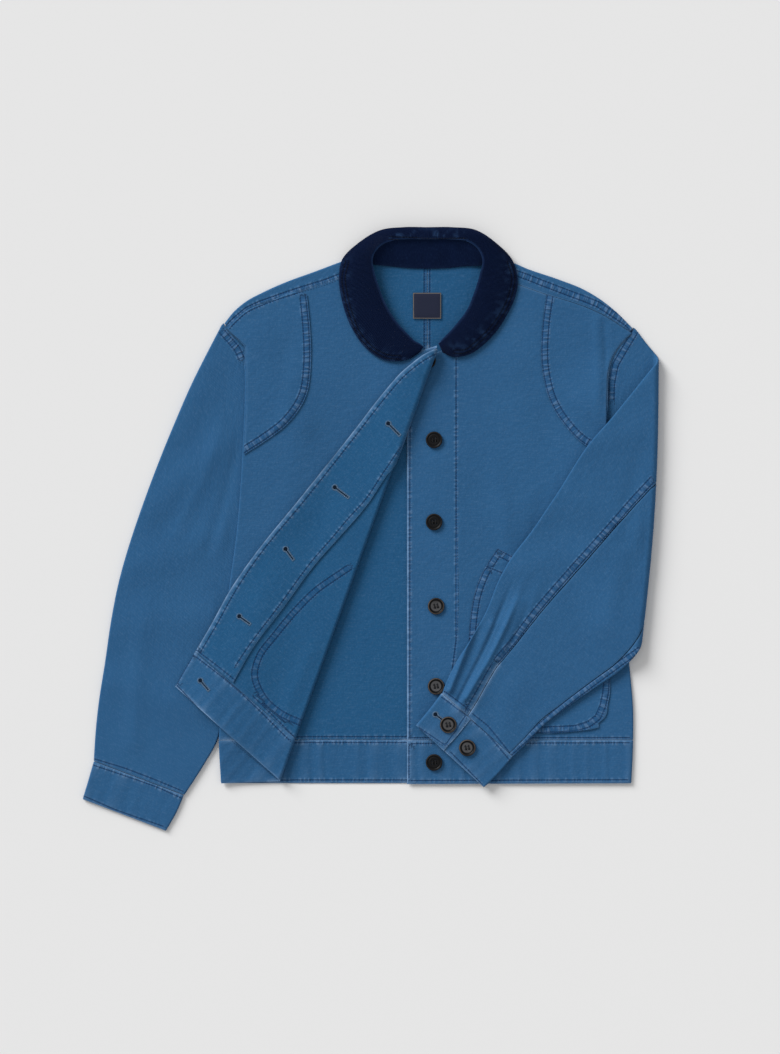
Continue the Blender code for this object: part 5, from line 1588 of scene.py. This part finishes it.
bars, holes, hole_faces = [], [], []
for name, *ends in BUTTONHOLES:
    line = keyhole(*ends, grow=HOLE_EDGE)
    dense = [(a + (b - a) * k / 4) for a, b in zip(np.array(line), np.array(line[1:])) for k in range(4)]
    spots = [drop(name, x, y, HOLE_LIFT) for x, y in dense + dense[:1]]
    bars.append([s for s in spots if s])
    # a dark sheet over the slit, painted shade of the opening
    inside = [drop(name, x, y, SLIT_LIFT) for x, y in keyhole(*ends)[:-1]]
    hole_faces.append(list(range(len(holes), len(holes) + len(inside))))
    holes += inside
sew("buttonhole_bars", bars, PALE_THREAD, "blue_canvas", HOLE_STITCH)
slit_shade_mesh = bpy.data.meshes.new("buttonhole_slit_shade")
slit_shade_mesh.from_pydata(holes, [], hole_faces)
slit_shade_mesh.materials.append(slit_shade_finish.material)
slit_shade = show("buttonhole_slit_shade", slit_shade_mesh)
work = bmesh.new()
work.from_mesh(slit_shade_mesh)
bmesh.ops.recalc_face_normals(work, faces=work.faces)
down = [f for f in work.faces if f.normal.z < 0]
bmesh.ops.reverse_faces(work, faces=down)
bmesh.ops.triangulate(work, faces=work.faces)
work.to_mesh(slit_shade_mesh)
work.free()
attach(slit_shade, "root")
print("buttonholes", len(BUTTONHOLES))

# %% [markdown]
# ## Buttons
# The buttons are near-black, with a raised outer rim worn to brown-grey, a groove inside it and a shallow
# dish with four holes. Thread crosses the holes in two bars. The profile is turned by a bmesh spin, and the
# holes are cut with a Boolean, because four round holes in a dish have no simpler clean form.

# %% Buttons
# share of the radius, height in mm
BUTTON_PROFILE = ((0.0, 0.1), (0.7, 0.1), (0.88, 0.35), (0.98, 1.1), (1.0, 1.7), (0.975, 2.25), (0.93, 2.55),
                  (0.87, 2.6), (0.81, 2.45), (0.765, 2.05), (0.73, 1.75), (0.69, 1.7), (0.655, 1.85),
                  (0.61, 2.05), (0.55, 2.05), (0.42, 1.85), (0.22, 1.7), (0.0, 1.65))
HOLE_AT, HOLE_R = 2.6, 1.2  # of the four holes from the middle, and their radius, in mm
BAR_FOOT, BAR_HIGH = 1.75, 1.0  # of a thread bar over the button's foot, and its own rise, in mm
BAR_HALF, BAR_APART = 0.9, 0.71  # of a bar's half length and half gap, as shares of HOLE_AT
BUTTON_CLEAR = 0.0003  # from the cloth to the button's foot, in metres


def button_finish():
    finish = Finish("button_black", Specular_IOR_Level=0.18)
    ring_at = finish.attribute("ring")
    where = finish.add("ShaderNodeTexCoord", out="Object")
    scuff = finish.noise(where, 420.0, 4.0, 0.65)
    dull = finish.noise(where, 90.0, 2.0)
    apart = finish.add("ShaderNodeSeparateXYZ", {}, {0: where}, out=1)
    aged = apart.fade(-0.09, -0.08) * apart.fade(-0.265, -0.272) * 0.85 + 0.15
    rim = ring_at.fade(0.89, 0.855) * ring_at.fade(0.96, 0.99)
    dish = ring_at.fade(0.58, 0.66)
    base = finish.mix(scuff * 0.4, colour(2, 2, 4), colour(10, 10, 13))
    base = finish.mix(rim * (scuff * 0.7 + 0.25) * (aged * 0.9), base, colour(100, 90, 82))
    base = finish.mix(dish * aged * aged * (dull * 0.5 + 0.5), base, colour(84, 84, 86))
    finish.set(Base_Color=base, Roughness=scuff * 0.3 + 0.34, Normal=finish.bump(scuff, 0.00008, 0.5))
    return finish.material


BUTTON_BLACK = button_finish()
BUTTON_TURN = math.radians(97)  # of the thread bars
BUTTON_NODES = [f"front_button_{k}" for k in range(1, 7)] + ["cuff_button_1", "cuff_button_2"]


def drill():
    """The four thread holes as one cutter, to be taken out of a button."""
    work = bmesh.new()
    for quarter in range(4):
        angle = BUTTON_TURN + math.pi / 4 + quarter * math.pi / 2
        made = bmesh.ops.create_cone(work, cap_ends=True, segments=14, radius1=HOLE_R * MM,
                                     radius2=HOLE_R * MM, depth=0.01)
        offset = Vector((math.cos(angle), math.sin(angle), 0)) * HOLE_AT * MM
        bmesh.ops.translate(work, verts=made["verts"], vec=offset)
    mesh = bpy.data.meshes.new("drill")
    work.to_mesh(mesh)
    work.free()
    return show("drill", mesh)


def button_mesh(node, radius):
    """A turned button with its holes, standing on the origin."""
    work = bmesh.new()
    verts = [work.verts.new((r * radius, 0.0, h * MM)) for r, h in BUTTON_PROFILE]
    edges = [work.edges.new(pair) for pair in zip(verts, verts[1:])]
    bmesh.ops.spin(work, geom=verts + edges, axis=(0, 0, 1), cent=(0, 0, 0), steps=48, angle=math.tau)
    bmesh.ops.remove_doubles(work, verts=work.verts, dist=1e-6)
    bmesh.ops.recalc_face_normals(work, faces=work.faces)
    whole = bpy.data.meshes.new(node)
    work.to_mesh(whole)
    work.free()
    body, cutter = show(node, whole), drill()
    cut = body.modifiers.new("holes", "BOOLEAN")
    cut.operation, cut.solver, cut.object = "DIFFERENCE", "EXACT", cutter
    bpy.context.view_layer.update()
    mesh = bpy.data.meshes.new_from_object(body.evaluated_get(bpy.context.evaluated_depsgraph_get()))
    bpy.data.objects.remove(body)
    bpy.data.objects.remove(cutter)
    mesh.name = node
    mesh.materials.clear()
    mesh.materials.append(BUTTON_BLACK)
    for polygon in mesh.polygons:
        polygon.use_smooth = polygon.area < 4e-6
    return mesh


def swell_at(centre):
    """How far the shaped cloth has risen over its solid at a button."""
    x, y, z = np.array(centre)[:, None] / MM + ((MIDDLE[0],), (MIDDLE[1],), (0.0,))
    return float((swell(x, y) * smooth((z - 1.25) / 3.0))[0]) * MM


def make_button(node):
    """Sets a button on the cloth and gives the two lines of thread across its holes."""
    low, high = (np.array(c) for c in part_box(node))
    centre = (low + high) / 2
    radius = (high[0] - low[0]) / 2
    rise = low[2] + swell_at(centre) + BUTTON_CLEAR
    mesh = button_mesh(node, radius)
    points = read_points(mesh)
    store(mesh, "ring", np.hypot(points[:, 0], points[:, 1]) / radius)
    write_points(mesh, points + (centre[0], centre[1], rise))
    piece = show("turned_" + node, mesh)
    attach(piece, "root")
    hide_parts(node)
    along = np.array((math.cos(BUTTON_TURN), math.sin(BUTTON_TURN))) * HOLE_AT * BAR_HALF
    apart = np.array((-math.sin(BUTTON_TURN), math.cos(BUTTON_TURN))) * HOLE_AT * BAR_APART
    return [[(*(centre[:2] + (apart * side + along * k) * MM),
              rise + (BAR_FOOT + BAR_HIGH * (1 - k * k)) * MM) for k in np.linspace(-1, 1, 9)]
            for side in (-1, 1)]


bars = [bar for node in BUTTON_NODES for bar in make_button(node)]
BLACK_THREAD = thread("button_thread", colour(8, 8, 12))
sew("button_threads", bars, BLACK_THREAD, "button_black", BUTTON_STITCH)

# %% [markdown]
# ## Hanging each piece on the body
# Each cloth piece rides on the jacket's one body and hides the solid it stands for, and the size it was cut
# to is printed with its area.

for name, facts in CLOTH.items():
    piece = facts["piece"]
    width, length = (side * MM for side in facts["size"])
    area = min(facts["area"] * MM * MM, width * length)
    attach(piece, "root")
    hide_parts(facts["node"])
    print(f"{name}: {width * 1000:.0f} x {length * 1000:.0f} mm, {area * 1e4:.0f} cm2")
